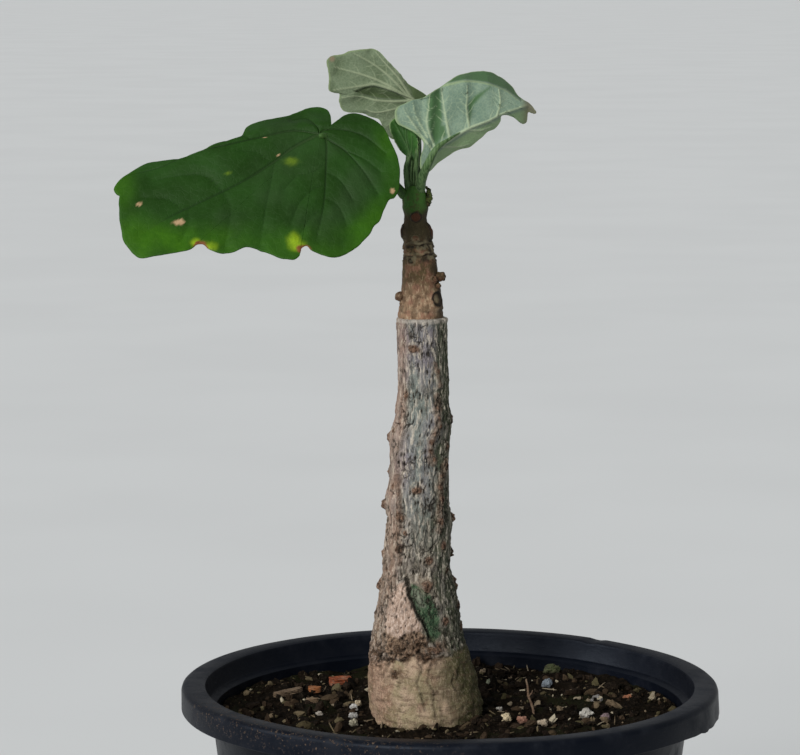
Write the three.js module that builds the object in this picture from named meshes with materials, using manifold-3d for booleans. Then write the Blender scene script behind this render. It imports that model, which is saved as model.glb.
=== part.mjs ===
/**
 * Potted uncarina: a grafted caudex plant in a round plastic nursery pot.
 *
 * Units are millimetres and +Z is up. The origin is the centre of the pot's flat underside,
 * the plant's showing side faces -Y and +X is to its right.
 */
import * as THREE from 'three';
import { mergeVertices } from 'three/addons/utils/BufferGeometryUtils.js';
import Module from 'manifold-3d';

const wasm = await Module();
wasm.setup();

// ---------------------------------------------------------------- driving dimensions

const GAP = 0.3; // clearance between neighbouring pieces

const POT_HEIGHT = 125;
const RIM_RADIUS = 75;
const RIM_WIDTH = 6.8; // width of the flat top of the rim
const SKIRT_HEIGHT = 6.8;
const WALL = 1.3;
const FLOOR = 1.6;
const FOOT_RADIUS = 52; // outside of the wall where it meets the ground
const NECK_RADIUS = 66.6; // outside of the wall just under the rim
const NECK_HEIGHT = 117.2;
const LEDGE_HEIGHT = 118.9; // inner ledge that a stacked pot stands on
const DRAIN_HOLES = 8;
const DRAIN_SIZE = [12, 8, 15]; // radial, tangential and vertical size of a drain slot
const POT_SEGMENTS = 64;

const SOIL_TOP = 115;

// Stem stations: height, sideways offset of the centre, radius. The root runs down to a point.
const ROOTSTOCK = [
  [66, -8, 0], [72, -8, 2.6], [80, -7.5, 4.8], [88, -7, 7.2], [96, -6.5, 10.2], [104, -6.4, 13.2],
  [111, -6.4, 14.7], [117, -6.5, 15.15], [122, -7.2, 15.35], [128, -7.9, 14.9], [137, -8.8, 12.95],
  [143, -9, 11.85], [150, -9, 10.75], [157, -9.1, 9.4], [163.5, -9, 9.05], [177, -8.9, 8.6],
  [193.9, -8.35, 8.3], [200.6, -7.4, 7.75], [207, -7.5, 7.05], [227.6, -7.95, 6.8], [227.6, -7.95, 0],
];
const GRAFT_HEIGHT = 227.6;
const SCION = [
  [GRAFT_HEIGHT + GAP, -8, 0], [GRAFT_HEIGHT + GAP, -8, 6.15], [231, -8.2, 5.9], [236, -8.15, 5.4],
  [243, -8.5, 4.6], [247, -9, 4.1], [249.5, -9.2, 3.7], [251.5, -9.3, 4.05], [254.5, -9.5, 3.2],
  [257.5, -9.7, 3.9], [261, -9.8, 3.6], [264, -9.9, 2.7], [264, -9.9, 0],
];
const STEM_SIDES = 20;

// Stubs of dropped leaves on the scion: centre and radius.
const SCION_KNOBS = [
  { at: [-13.7, -0.6, 233.2], radius: 1.5 },
  { at: [-2.9, -1, 238.8], radius: 1.5 },
];
const DRIED_STUB = { path: [[-8, 0.2, 257.5], [-6, 0.2, 260.5], [-6.2, 0.2, 263.4]], radius: 0.8 };

const PETIOLE_SIDES = 8; // also the sides of every other thin rod
const MARGIN_STEPS = 38; // points round a leaf's margin
const BLADE_RINGS = 4;

/**
 * Leaves. A margin is a ring of (x, z) points as seen from the front, the junction is the point
 * where the main veins meet, and depth(x, z) gives the blade's y there. The facing is the mean
 * direction in which the front face looks, and the petiole's centre line runs on to the junction.
 * A middle is given where the junction doesn't see the whole margin.
 */
const LEAVES = {
  leaf_left_large: {
    colour: 0x2f5a22,
    thickness: 0.9,
    junction: [-35.9, 278.5],
    facing: [0, -0.62, 0.78],
    depth: (x, z) => -4 - 0.78 * (284 - z) + 0.0022 * (x + 52) ** 2,
    margin: [
      [-32.7, 280.4], [-34.4, 284.6], [-38.5, 284.8], [-45.2, 282.7], [-51.5, 281.7], [-56.6, 279],
      [-64.1, 275.9], [-70.7, 273.1], [-81.4, 270.8], [-89.3, 266.7], [-91, 263.8], [-89.5, 260.3],
      [-87.9, 251.5], [-82.4, 246.7], [-72.4, 248.5], [-67.1, 250], [-61.7, 248], [-49.8, 248.2],
      [-42.3, 246.7], [-39.5, 248.7], [-31.2, 247], [-25.9, 249], [-19.2, 256], [-15.8, 261.8],
      [-14.4, 266.5], [-14.6, 271.8], [-18, 279.6], [-21.5, 282.2], [-27.5, 283.5], [-31.1, 282],
    ],
    petiole: { path: [[-14.2, 0, 262.6], [-18, 0.4, 268], [-27, -0.5, 274.2]], radius: 0.95 },
  },
  leaf_back_left: {
    colour: 0x86a07c,
    thickness: 0.8,
    junction: [-13.5, 286],
    facing: [0.2, -0.98, 0],
    depth: (x) => 6.5 + 0.25 * Math.max(0, -10 - x),
    margin: [
      [-34.3, 297.2], [-32.4, 299.2], [-27.1, 300.5], [-21.1, 300.9], [-16.7, 297.2], [-12, 291.2],
      [-10, 286.5], [-11.5, 281], [-15.4, 276.6], [-19.7, 281.8], [-24.4, 283.5], [-29.9, 284.3],
      [-31.2, 288.6], [-33.8, 289.8],
    ],
    petiole: { path: [[-9.7, 1.75, 264.4], [-8.8, 5, 274]], radius: 0.8 },
  },
  leaf_right: {
    colour: 0x7fa07f,
    thickness: 0.8,
    junction: [-3.8, 274.8],
    middle: [8, 288],
    facing: [0, -0.95, 0.3],
    depth: (x, z) => -5.5 + foldDepth(z - midribHeight(x), x),
    margin: [
      [-15, 285.1], [-10.6, 287.3], [-4.6, 290], [-1.9, 291.6], [3.8, 294.4], [10.1, 294.9], [13.6, 293.5],
      [18.5, 288.4], [22.8, 284.3], [20.8, 281.6], [16.4, 283.6], [13.4, 281.6], [7.9, 276.9], [1.7, 273.7],
      [-3.5, 270.4], [-6.8, 271], [-7, 276.5], [-10, 278.6], [-14.8, 280.8],
    ],
    petiole: { path: [[-8.1, -0.9, 264.4], [-6.6, -2.6, 268.5]], radius: 1 },
  },
  leaf_centre_folded: {
    colour: 0x4f8a33,
    thickness: 0.7,
    junction: [-12, 274.5],
    facing: [0, -1, 0],
    depth: () => -1.6,
    margin: [
      [-16.3, 281.2], [-16, 278.5], [-15, 275.8], [-12.8, 272.5], [-10.4, 270.9], [-9.3, 272.5],
      [-9.4, 276.6], [-12, 279.4],
    ],
    petiole: { path: [[-11.5, -0.9, 264.4], [-12.3, -1.3, 268.5]], radius: 0.6 },
  },
};

/** Height of the right leaf's midrib, which arches over to the drooping tip. */
function midribHeight(x) {
  return 277.2 + 0.42 * x;
}

/** The right leaf is folded along its midrib: both halves run back, away from the viewer. */
function foldDepth(above, x) {
  const slope = above > 0 ? 0.3 : -1.6;
  return slope * above + 0.04 * Math.max(0, x);
}

const BUD = { path: [[-10, -0.1, 264.4], [-9.4, 0.5, 271], [-8.6, 1, 278.4]], radius: 0.35 };
const TWIG = { path: [[23.9, -1.6, 115.9], [22.4, -1.6, 121], [21.4, -1.2, 126]], radius: 0.4 };

// Bark chips lying on the mix: centre, length, width, thickness, turn about Z in degrees.
const BARK_CHIPS = [
  { name: 'bark_chip_red', at: [-31.5, 38.5], size: [6.6, 3.6, 2.2], turn: 20, colour: 0x9c4526 },
  { name: 'bark_chip_orange', at: [-38.4, 27.5], size: [3.6, 2.2, 1.4], turn: -15, colour: 0xa9602f },
  { name: 'bark_chip_long', at: [-46.2, 22], size: [9.6, 2.4, 1.4], turn: 42, colour: 0x8c7458 },
  { name: 'bark_chip_tan', at: [-38.9, 13.4], size: [3.4, 2.2, 1.4], turn: 10, colour: 0x8b7152 },
];

// Loose stones and crumbs on the mix: centre, width, depth and height.
const STONES = [
  { name: 'pumice_cream', at: [15.2, -12.4], size: [3.4, 3, 2.9], colour: 0xb5a88f },
  { name: 'grit_red', at: [19.9, -10.6], size: [2.6, 2.4, 2.2], colour: 0x7c4a3a },
  { name: 'pumice_tan', at: [25.6, -14.8], size: [2.8, 2.6, 2.2], colour: 0x8f7f68 },
  { name: 'pumice_white', at: [38, -4], size: [3.8, 3.2, 3], colour: 0xc9c3b4 },
  { name: 'grit_grey', at: [42.1, 12.1], size: [3, 2.8, 2.4], colour: 0x6e6a66 },
  { name: 'grit_purple', at: [43.4, -7.6], size: [2.9, 2.6, 2.3], colour: 0x5d4a4c },
  { name: 'pumice_small', at: [14, 3.6], size: [2, 1.9, 1.7], colour: 0xb9b2a4 },
  { name: 'stone_blue_grey', at: [28.8, 34], size: [3.2, 3, 2.6], colour: 0x5d6670 },
  { name: 'moss_clod', at: [31, 51.5], size: [4.8, 4, 3.4], colour: 0x4c5138 },
  { name: 'grit_tan', at: [10.4, 52], size: [2.4, 2.2, 1.9], colour: 0x7d6b52 },
  { name: 'grit_rust', at: [51.1, 15.9], size: [2.6, 2.2, 1.9], colour: 0x7a4631 },
  { name: 'pumice_green', at: [12.6, 34], size: [2.9, 2.6, 2.3], colour: 0x7b7f66 },
  { name: 'pumice_left', at: [-36.4, -2.8], size: [2, 1.9, 1.7], colour: 0xb7b0a2 },
  { name: 'pumice_grey', at: [-26.8, 3.8], size: [2.6, 2.4, 2.1], colour: 0x8d8a82 },
  { name: 'pumice_ash', at: [-27, -5.4], size: [2.6, 2.3, 2], colour: 0x85827a },
  { name: 'grit_cream', at: [-25.8, 10.6], size: [2.3, 2, 1.7], colour: 0xa89a7e },
  { name: 'pumice_olive', at: [-26.6, -13.8], size: [2.8, 2.5, 2.2], colour: 0x83806a },
];

// ---------------------------------------------------------------- working with solids

/** A solid from a closed geometry, its shared corners merged. */
function solid(geometry) {
  const bare = geometry.clone();
  bare.deleteAttribute('normal');
  bare.deleteAttribute('uv');
  const merged = mergeVertices(bare, 1e-4);
  return new wasm.Manifold(new wasm.Mesh({
    numProp: 3,
    vertProperties: new Float32Array(merged.attributes.position.array),
    triVerts: new Uint32Array(merged.index.array),
  }));
}

/** A geometry from a finished solid. */
function geometryOf(body) {
  const { vertProperties, triVerts } = body.getMesh();
  const geometry = new THREE.BufferGeometry();
  geometry.setAttribute('position', new THREE.BufferAttribute(vertProperties, 3));
  geometry.setIndex(new THREE.BufferAttribute(triVerts, 1));
  geometry.computeVertexNormals();
  return geometry;
}

/** Turns a profile of (radius, height) points about the Z axis. */
function turned(profile, segments) {
  const points = profile.map(([radius, height]) => new THREE.Vector2(radius, height));
  return new THREE.LatheGeometry(points, segments).rotateX(Math.PI / 2);
}

/** A stem turned from its stations and then bent sideways along them, grown by an offset. */
function stemGeometry(stations, offset = 0) {
  const profile = stations.map(([height, , radius]) => [radius > 0 ? radius + offset : 0, height]);
  const geometry = turned(profile, STEM_SIDES);
  const position = geometry.attributes.position;
  for (let i = 0; i < position.count; i += 1) {
    position.setX(i, position.getX(i) + centreAt(stations, position.getZ(i)));
  }
  return geometry;
}

/** Sideways offset of a stem's centre at a height, straight between stations. */
function centreAt(stations, height) {
  const above = Math.max(1, stations.findIndex(([z]) => z >= height - 1e-4));
  const [z0, x0] = stations[above - 1];
  const [z1, x1] = stations[above];
  const share = z1 > z0 ? (height - z0) / (z1 - z0) : 0;
  return x0 + (x1 - x0) * share;
}

/** A round rod along a smooth centre line. */
function rodGeometry({ path, radius }) {
  const line = new THREE.CatmullRomCurve3(path.map((point) => new THREE.Vector3(...point)));
  const section = new THREE.Shape().absarc(0, 0, radius, 0, 2 * Math.PI);
  const steps = 4 * (path.length - 1);
  return new THREE.ExtrudeGeometry(section, {
    steps, curveSegments: PETIOLE_SIDES / 2, bevelEnabled: false, extrudePath: line,
  });
}

/** A thin closed blade: two faces of rings round a middle that sees the whole margin, joined at it. */
function bladeGeometry({ margin, junction, middle = junction, depth, facing, thickness }) {
  const flat = margin.map(([x, z]) => new THREE.Vector3(x, 0, z));
  const edge = new THREE.CatmullRomCurve3(flat, true).getPoints(MARGIN_STEPS).slice(0, -1);
  const twiceArea = edge.reduce((sum, p, i) => {
    const q = edge[(i + 1) % edge.length];
    return sum + p.x * q.z - q.x * p.z;
  }, 0);
  if (twiceArea < 0) edge.reverse();

  const half = new THREE.Vector3(...facing).normalize().multiplyScalar(thickness / 2);
  const centre = new THREE.Vector3(middle[0], 0, middle[1]);
  const corners = [];
  for (const side of [1, -1]) {
    const place = (point) => {
      const on = new THREE.Vector3(point.x, depth(point.x, point.z), point.z);
      corners.push(...on.addScaledVector(half, side).toArray());
    };
    place(centre);
    for (let ring = 1; ring <= BLADE_RINGS; ring += 1) {
      edge.forEach((point) => place(centre.clone().lerp(point, ring / BLADE_RINGS)));
    }
  }

  const count = edge.length;
  const faceSize = 1 + BLADE_RINGS * count;
  const at = (face, ring, i) => face * faceSize + 1 + (ring - 1) * count + (i % count);
  const triangles = [];
  const addQuad = (a, b, c, d) => triangles.push(a, b, c, a, c, d);
  for (let i = 0; i < count; i += 1) {
    triangles.push(0, at(0, 1, i), at(0, 1, i + 1));
    triangles.push(faceSize, at(1, 1, i + 1), at(1, 1, i));
    for (let ring = 1; ring < BLADE_RINGS; ring += 1) {
      addQuad(at(0, ring, i), at(0, ring + 1, i), at(0, ring + 1, i + 1), at(0, ring, i + 1));
      addQuad(at(1, ring, i), at(1, ring, i + 1), at(1, ring + 1, i + 1), at(1, ring + 1, i));
    }
    addQuad(at(0, BLADE_RINGS, i), at(1, BLADE_RINGS, i), at(1, BLADE_RINGS, i + 1), at(0, BLADE_RINGS, i + 1));
  }
  const geometry = new THREE.BufferGeometry();
  geometry.setAttribute('position', new THREE.Float32BufferAttribute(corners, 3));
  geometry.setIndex(triangles);
  return geometry;
}

// ---------------------------------------------------------------- pieces

function potGeometry() {
  const rimInner = RIM_RADIUS - RIM_WIDTH;
  const skirtInner = RIM_RADIUS - WALL;
  const lipTop = POT_HEIGHT - WALL - 0.9;
  const profile = [
    [0, 0], [FOOT_RADIUS - 1.4, 0], [FOOT_RADIUS, 1.4], [NECK_RADIUS, NECK_HEIGHT],
    [rimInner + 0.8, LEDGE_HEIGHT + 0.5], [rimInner + 1, lipTop - 0.2], [skirtInner - 0.4, lipTop],
    [skirtInner, POT_HEIGHT - SKIRT_HEIGHT], [RIM_RADIUS, POT_HEIGHT - SKIRT_HEIGHT],
    [RIM_RADIUS, POT_HEIGHT - 1.3], [RIM_RADIUS - 0.5, POT_HEIGHT - 0.4], [RIM_RADIUS - 1.4, POT_HEIGHT],
    [rimInner + 0.8, POT_HEIGHT], [rimInner, POT_HEIGHT - 0.6], [rimInner - 0.5, LEDGE_HEIGHT + 1],
    [NECK_RADIUS - WALL + 0.3, LEDGE_HEIGHT], [NECK_RADIUS - WALL, NECK_HEIGHT - 0.6],
    [FOOT_RADIUS - WALL + 0.3, 3], [FOOT_RADIUS - 2.6, FLOOR], [0, FLOOR],
  ];
  let body = solid(turned(profile, POT_SEGMENTS));
  for (let i = 0; i < DRAIN_HOLES; i += 1) {
    const slot = new THREE.BoxGeometry(...DRAIN_SIZE);
    slot.translate(FOOT_RADIUS - 1, 0, 1).rotateZ(((i + 0.5) * 2 * Math.PI) / DRAIN_HOLES);
    body = body.subtract(solid(slot));
  }
  return geometryOf(body);
}

function pottingMixGeometry() {
  const slope = (NECK_RADIUS - FOOT_RADIUS) / NECK_HEIGHT;
  const wallAt = (height) => FOOT_RADIUS + slope * height - WALL - GAP;
  const bottom = FLOOR + GAP;
  const profile = [
    [0, bottom], [wallAt(bottom) - 1.8, bottom], [wallAt(bottom + 2) - 0.2, bottom + 2],
    [wallAt(SOIL_TOP) - 0.2, SOIL_TOP], [0, SOIL_TOP],
  ];
  const socket = stemGeometry(ROOTSTOCK, GAP).translate(0, 0, -GAP);
  return geometryOf(solid(turned(profile, POT_SEGMENTS)).subtract(solid(socket)));
}

/** The scion with the knobs and the dried stub that dropped leaves left on it. */
function scionGeometry() {
  let body = solid(stemGeometry(SCION)).add(solid(rodGeometry(DRIED_STUB)));
  for (const { at, radius } of SCION_KNOBS) {
    const knob = new THREE.IcosahedronGeometry(radius, 1).translate(...at);
    body = body.add(solid(knob));
  }
  return geometryOf(body);
}

/** A leaf grown as one piece: its blade joined to its petiole, which ends at the vein junction. */
function leafGeometry(leaf) {
  const [x, z] = leaf.junction;
  const path = [...leaf.petiole.path, [x, leaf.depth(x, z), z]];
  const petiole = rodGeometry({ path, radius: leaf.petiole.radius });
  return geometryOf(solid(bladeGeometry(leaf)).add(solid(petiole)));
}

/** A flat flake of bark with a five-cornered outline, lying on the mix. */
function barkChipGeometry({ at, size, turn }) {
  const [length, width, height] = size;
  const outline = [[-0.5, -0.3], [0.1, -0.5], [0.5, -0.15], [0.35, 0.42], [-0.38, 0.5]];
  const shape = new THREE.Shape(outline.map(([u, v]) => new THREE.Vector2(u * length, v * width)));
  return new THREE.ExtrudeGeometry(shape, { depth: height, bevelEnabled: false })
    .rotateZ(THREE.MathUtils.degToRad(turn))
    .translate(at[0], at[1], SOIL_TOP + GAP);
}

/** An uneven pebble, resting on the mix. Its lumps depend on where it lies. */
function stoneGeometry({ at, size }) {
  const geometry = new THREE.IcosahedronGeometry(0.5, 1);
  const position = geometry.attributes.position;
  const point = new THREE.Vector3();
  for (let i = 0; i < position.count; i += 1) {
    point.fromBufferAttribute(position, i);
    const lump = Math.sin(point.x * 7 + at[0]) * Math.cos(point.y * 6 + at[1]) + Math.sin(point.z * 8 + at[0]);
    point.multiplyScalar(1 + 0.06 * lump);
    position.setXYZ(i, point.x, point.y, point.z);
  }
  geometry.scale(...size);
  geometry.computeBoundingBox();
  return geometry.translate(at[0], at[1], SOIL_TOP + GAP - geometry.boundingBox.min.z);
}

// ---------------------------------------------------------------- the assembled plant

const group = new THREE.Group();

function addPiece(name, geometry, color, roughness) {
  const piece = new THREE.Mesh(geometry, new THREE.MeshStandardMaterial({ color, roughness, metalness: 0 }));
  piece.name = name;
  group.add(piece);
}

addPiece('pot', potGeometry(), 0x15161c, 0.5);
addPiece('potting_mix', pottingMixGeometry(), 0x2b221b, 0.95);
addPiece('rootstock_stem', stemGeometry(ROOTSTOCK), 0x8b8378, 0.85);
addPiece('scion_stem', scionGeometry(), 0x6d5039, 0.8);
for (const [name, leaf] of Object.entries(LEAVES)) {
  addPiece(name, leafGeometry(leaf), leaf.colour, 0.6);
}
addPiece('leaf_bud', rodGeometry(BUD), 0x8fa36a, 0.7);
addPiece('twig', rodGeometry(TWIG), 0x6a5540, 0.9);
for (const chip of BARK_CHIPS) {
  addPiece(chip.name, barkChipGeometry(chip), chip.colour, 0.9);
}
for (const stone of STONES) {
  addPiece(stone.name, stoneGeometry(stone), stone.colour, 0.9);
}

export default group;
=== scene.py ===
"""Potted uncarina: the visible plant, pot and soil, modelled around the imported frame.

Laid out as an add-on: each operator makes one piece or one group of like pieces, and main() calls them
in order. Shapes are worked out in millimetres and written to the meshes in metres. +Z is up, the showing
side faces -Y, and the origin is the centre of the pot's underside.
"""

import itertools
import math
import random

import bpy
import numpy as np
from mathutils import Matrix, Vector


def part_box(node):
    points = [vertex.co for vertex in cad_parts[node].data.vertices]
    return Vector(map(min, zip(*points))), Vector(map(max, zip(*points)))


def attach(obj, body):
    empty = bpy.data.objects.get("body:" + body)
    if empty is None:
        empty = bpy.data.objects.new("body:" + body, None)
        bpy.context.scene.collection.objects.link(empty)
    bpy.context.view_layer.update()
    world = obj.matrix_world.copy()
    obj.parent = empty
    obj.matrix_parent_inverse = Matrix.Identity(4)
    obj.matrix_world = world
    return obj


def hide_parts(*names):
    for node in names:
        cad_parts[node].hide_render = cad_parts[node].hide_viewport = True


bl_info = {
    "name": "Potted uncarina",
    "version": (1, 0, 0),
    "blender": (4, 5, 0),
    "location": "3D View > Sidebar > Uncarina",
    "description": "Models a grafted uncarina in a nursery pot, piece by piece",
    "category": "Add Mesh",
}

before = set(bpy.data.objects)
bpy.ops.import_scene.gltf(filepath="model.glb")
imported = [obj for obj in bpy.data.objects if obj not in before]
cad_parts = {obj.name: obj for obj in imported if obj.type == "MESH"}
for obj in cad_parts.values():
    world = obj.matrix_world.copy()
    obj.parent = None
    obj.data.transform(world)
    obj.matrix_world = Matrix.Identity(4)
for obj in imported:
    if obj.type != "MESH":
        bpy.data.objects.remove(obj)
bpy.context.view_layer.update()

MM = 0.001
BODY = "root"
FRONT = -0.5 * math.pi  # angle about +Z that faces the showing side

POT_LOW, POT_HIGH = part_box("pot")
POT_HEIGHT = POT_HIGH.z / MM
RIM_RADIUS = POT_HIGH.x / MM
SOIL_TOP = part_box("potting_mix")[1].z / MM
SOIL_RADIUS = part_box("potting_mix")[1].x / MM
GRAFT_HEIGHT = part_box("rootstock_stem")[1].z / MM
SCION_TOP = 264.0
STEM_X = -6.4  # where the stem leaves the mix, to the side of the pot's middle

# Faces around and along each sheet before it is welded.
POT_STEPS = 224
MIX_STEPS = (240, 150)
ROOTSTOCK_STEPS = (240, 392)
SCION_STEPS = (130, 210)
LARGE_STEPS = (480, 76)

# Stem stations: height, sideways offset of the centre, radius.
ROOTSTOCK = (
    (106, -6.4, 13.6), (111, -6.4, 14.6), (115, -6.4, 15.0), (119, -6.7, 15.3), (123, -7.3, 15.3),
    (128, -7.9, 14.9),
    (133, -8.4, 13.95), (137, -8.8, 12.95), (143, -9.0, 11.85), (150, -9.0, 10.75), (157, -9.15, 9.5),
    (163.5, -9.0, 9.1), (170, -8.6, 8.8), (177, -8.9, 8.6), (184, -8.5, 8.2), (190, -8.45, 8.2),
    (194.5, -8.3, 8.35), (197.5, -7.7, 8.1), (200.6, -7.3, 7.75), (204, -7.5, 7.2), (211, -7.55, 6.95),
    (219, -7.7, 6.85), (227.6, -7.95, 6.8),
)
SCION = (
    (227.2, -8.1, 6.15), (229, -8.15, 6.1), (231, -8.1, 5.9), (233.2, -8.1, 5.65), (236, -8.2, 5.3),
    (239, -8.3, 4.9), (243, -8.5, 4.6), (247, -8.9, 4.2), (249, -9.1, 3.75), (251.4, -9.3, 3.95),
    (253, -9.4, 3.4),
    (255.5, -9.5, 3.15), (257.6, -9.7, 3.65), (259, -9.8, 3.55), (261, -9.9, 3.3), (262.6, -9.9, 2.9),
    (264, -9.9, 2.3),
)


# ------------------------------------------------------------------ sizes and colours a user may change


class UNCARINA_PG_pot(bpy.types.PropertyGroup):
    rim_width: bpy.props.FloatProperty(
        name="Rim width", description="Width of the rim's flat top", default=6.8 * MM, unit="LENGTH")
    wall: bpy.props.FloatProperty(
        name="Wall", description="Thickness of the moulded wall", default=1.3 * MM, unit="LENGTH")
    plastic: bpy.props.FloatVectorProperty(
        name="Plastic", description="Colour of the pot's plastic", default=(0.0022, 0.0032, 0.0060),
        subtype="COLOR", size=3, min=0, max=1)
    dust: bpy.props.FloatVectorProperty(
        name="Dust", description="Colour of the dried soil on the rim", default=(0.16, 0.11, 0.075),
        subtype="COLOR", size=3, min=0, max=1)


class UNCARINA_PG_soil(bpy.types.PropertyGroup):
    crumbs: bpy.props.IntProperty(
        name="Crumbs", description="Number of loose crumbs on the mix", default=2120, min=0, max=4000)
    peat: bpy.props.FloatVectorProperty(
        name="Peat", description="Colour of the damp peat", default=(0.0042, 0.0032, 0.0022),
        subtype="COLOR", size=3, min=0, max=1)
    seed: bpy.props.IntProperty(name="Seed", description="Seed of every scattered piece", default=7)


class UNCARINA_PG_plant(bpy.types.PropertyGroup):
    blade: bpy.props.FloatProperty(
        name="Blade", description="Thickness of a leaf blade", default=0.26 * MM, unit="LENGTH")
    mature_green: bpy.props.FloatVectorProperty(
        name="Mature leaf", description="Colour of the old leaf's upper side",
        default=(0.0105, 0.0380, 0.0035),
        subtype="COLOR", size=3, min=0, max=1)
    felt_green: bpy.props.FloatVectorProperty(
        name="Felted underside", description="Colour of the leaves' felted underside",
        default=(0.165, 0.235, 0.172),
        subtype="COLOR", size=3, min=0, max=1)
    bark: bpy.props.FloatVectorProperty(
        name="Bark", description="Middle colour of the rootstock's bark", default=(0.27, 0.25, 0.24),
        subtype="COLOR", size=3, min=0, max=1)


class UNCARINA_PG_stage(bpy.types.PropertyGroup):
    floor: bpy.props.FloatVectorProperty(
        name="Floor", description="Colour of the floor", default=(0.72, 0.735, 0.735),
        subtype="COLOR", size=3, min=0, max=1)


# ------------------------------------------------------------------ noise and masks on arrays of points


def scatter(cells, seed):
    """A number between 0 and 1 for each whole-numbered cell."""
    x, y, z = (cells[..., axis].astype(np.uint64) for axis in range(3))
    mixed = x * np.uint64(374761393) + y * np.uint64(668265263) + z * np.uint64(2246822519)
    mixed = (mixed + np.uint64(seed * 3266489917)) & np.uint64(0xFFFFFFFF)
    mixed = ((mixed ^ (mixed >> np.uint64(13))) * np.uint64(1274126177)) & np.uint64(0xFFFFFFFF)
    mixed = ((mixed ^ (mixed >> np.uint64(15))) * np.uint64(2654435761)) & np.uint64(0xFFFFFFFF)
    return (mixed ^ (mixed >> np.uint64(16))).astype(float) / 4294967295.0


def value_noise(points, seed=0):
    """Smooth noise between 0 and 1 with one cell to a unit."""
    cell = np.floor(points).astype(np.int64)
    part = points - cell
    soft = part * part * (3 - 2 * part)
    total = np.zeros(len(points))
    for corner in itertools.product((0, 1), repeat=3):
        weight = np.prod(np.where(np.array(corner), soft, 1 - soft), axis=1)
        total += weight * scatter(cell + np.array(corner), seed)
    return total


def fractal(points, octaves=4, seed=0, gain=0.5):
    """Layered noise between about -1 and 1."""
    total = np.zeros(len(points))
    reach = 0.0
    for octave in range(octaves):
        share = gain ** octave
        total += share * (2 * value_noise(points * 2 ** octave + 17.3 * octave, seed + octave) - 1)
        reach += share
    return total / reach * 1.6


def cells(points, seed=0):
    """Distance to the nearest scattered point, the next one's less that, and the nearest one's number."""
    home = np.floor(points).astype(np.int64)
    nearest = np.full(len(points), 9.0)
    second = np.full(len(points), 9.0)
    number = np.zeros(len(points))
    for step in itertools.product((-1, 0, 1), repeat=3):
        cell = home + np.array(step)
        spot = cell + np.stack([scatter(cell, seed + k) for k in (1, 2, 3)], axis=-1)
        away = np.linalg.norm(points - spot, axis=1)
        closer = away < nearest
        second = np.where(closer, nearest, np.minimum(second, away))
        number = np.where(closer, scatter(cell, seed + 4), number)
        nearest = np.where(closer, away, nearest)
    return nearest, second - nearest, number


def ease(value, low, high):
    """0 at low, 1 at high, with a smooth step between. Low may be above high."""
    share = np.clip((value - low) / (high - low), 0, 1)
    return share * share * (3 - 2 * share)


def line_distance(across, up, points):
    """Distance to a polyline, and how far along it the nearest place lies, from 0 to 1."""
    spots = np.array(points, float)
    lengths = np.linalg.norm(np.diff(spots, axis=0), axis=1)
    starts = np.concatenate([[0], np.cumsum(lengths)])
    best = np.full(len(across), 1e9)
    along = np.zeros(len(across))
    for (x0, y0), (x1, y1), start, length in zip(spots, spots[1:], starts, lengths):
        share = np.clip(((across - x0) * (x1 - x0) + (up - y0) * (y1 - y0)) / length ** 2, 0, 1)
        away = np.hypot(across - x0 - share * (x1 - x0), up - y0 - share * (y1 - y0))
        along = np.where(away < best, (start + share * length) / starts[-1], along)
        best = np.minimum(best, away)
    return best, along


def patch(across, up, corners, blur):
    """1 inside a closed outline and 0 outside, with a soft edge."""
    loop = list(corners) + [corners[0]]
    away, _ = line_distance(across, up, loop)
    inside = np.zeros(len(across), bool)
    for (x0, y0), (x1, y1) in zip(loop, loop[1:]):
        crosses = (y0 > up) != (y1 > up)
        if y1 != y0:
            inside ^= crosses & (across < (x1 - x0) * (up - y0) / (y1 - y0) + x0)
    return ease(np.where(inside, away, -away), -blur, blur)


def smooth_line(points, count, closed=False):
    """Points evenly spread along a smooth curve through the given ones."""
    knots = np.array(points, float)
    if closed:
        knots = np.concatenate([knots[-1:], knots, knots[:2]])
    else:
        knots = np.concatenate([2 * knots[:1] - knots[1:2], knots, 2 * knots[-1:] - knots[-2:-1]])
    fine = []
    for p0, p1, p2, p3 in zip(knots, knots[1:], knots[2:], knots[3:]):
        for t in np.linspace(0, 1, 24, endpoint=False):
            fine.append(0.5 * (2 * p1 + (p2 - p0) * t + (2 * p0 - 5 * p1 + 4 * p2 - p3) * t * t
                               + (3 * p1 - p0 - 3 * p2 + p3) * t ** 3))
    fine.append(knots[-2])
    fine = np.array(fine)
    walked = np.concatenate([[0], np.cumsum(np.linalg.norm(np.diff(fine, axis=0), axis=1))])
    wanted = np.linspace(0, walked[-1], count)
    return np.stack([np.interp(wanted, walked, fine[:, k]) for k in range(fine.shape[1])], axis=1)


def stations_at(stations, height):
    """Centre offset and radius of a stem at each height, smooth between its stations."""
    fine = smooth_line(stations, 400)
    order = np.argsort(fine[:, 0])
    return (np.interp(height, fine[order, 0], fine[order, 1]),
            np.interp(height, fine[order, 0], fine[order, 2]))


# ------------------------------------------------------------------ modelling helpers


def clear_selection():
    if bpy.context.mode != "OBJECT":
        bpy.ops.object.mode_set(mode="OBJECT")
    bpy.ops.object.select_all(action="DESELECT")


def pick(obj):
    clear_selection()
    obj.select_set(True)
    bpy.context.view_layer.objects.active = obj


def new_primitive(name, add, **arguments):
    """Adds a mesh primitive as a named object with its place in its mesh."""
    clear_selection()
    add(**arguments)
    obj = bpy.context.object
    obj.name = name
    obj.data.name = name
    bpy.ops.object.transform_apply(location=True, rotation=True, scale=True)
    return obj


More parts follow.
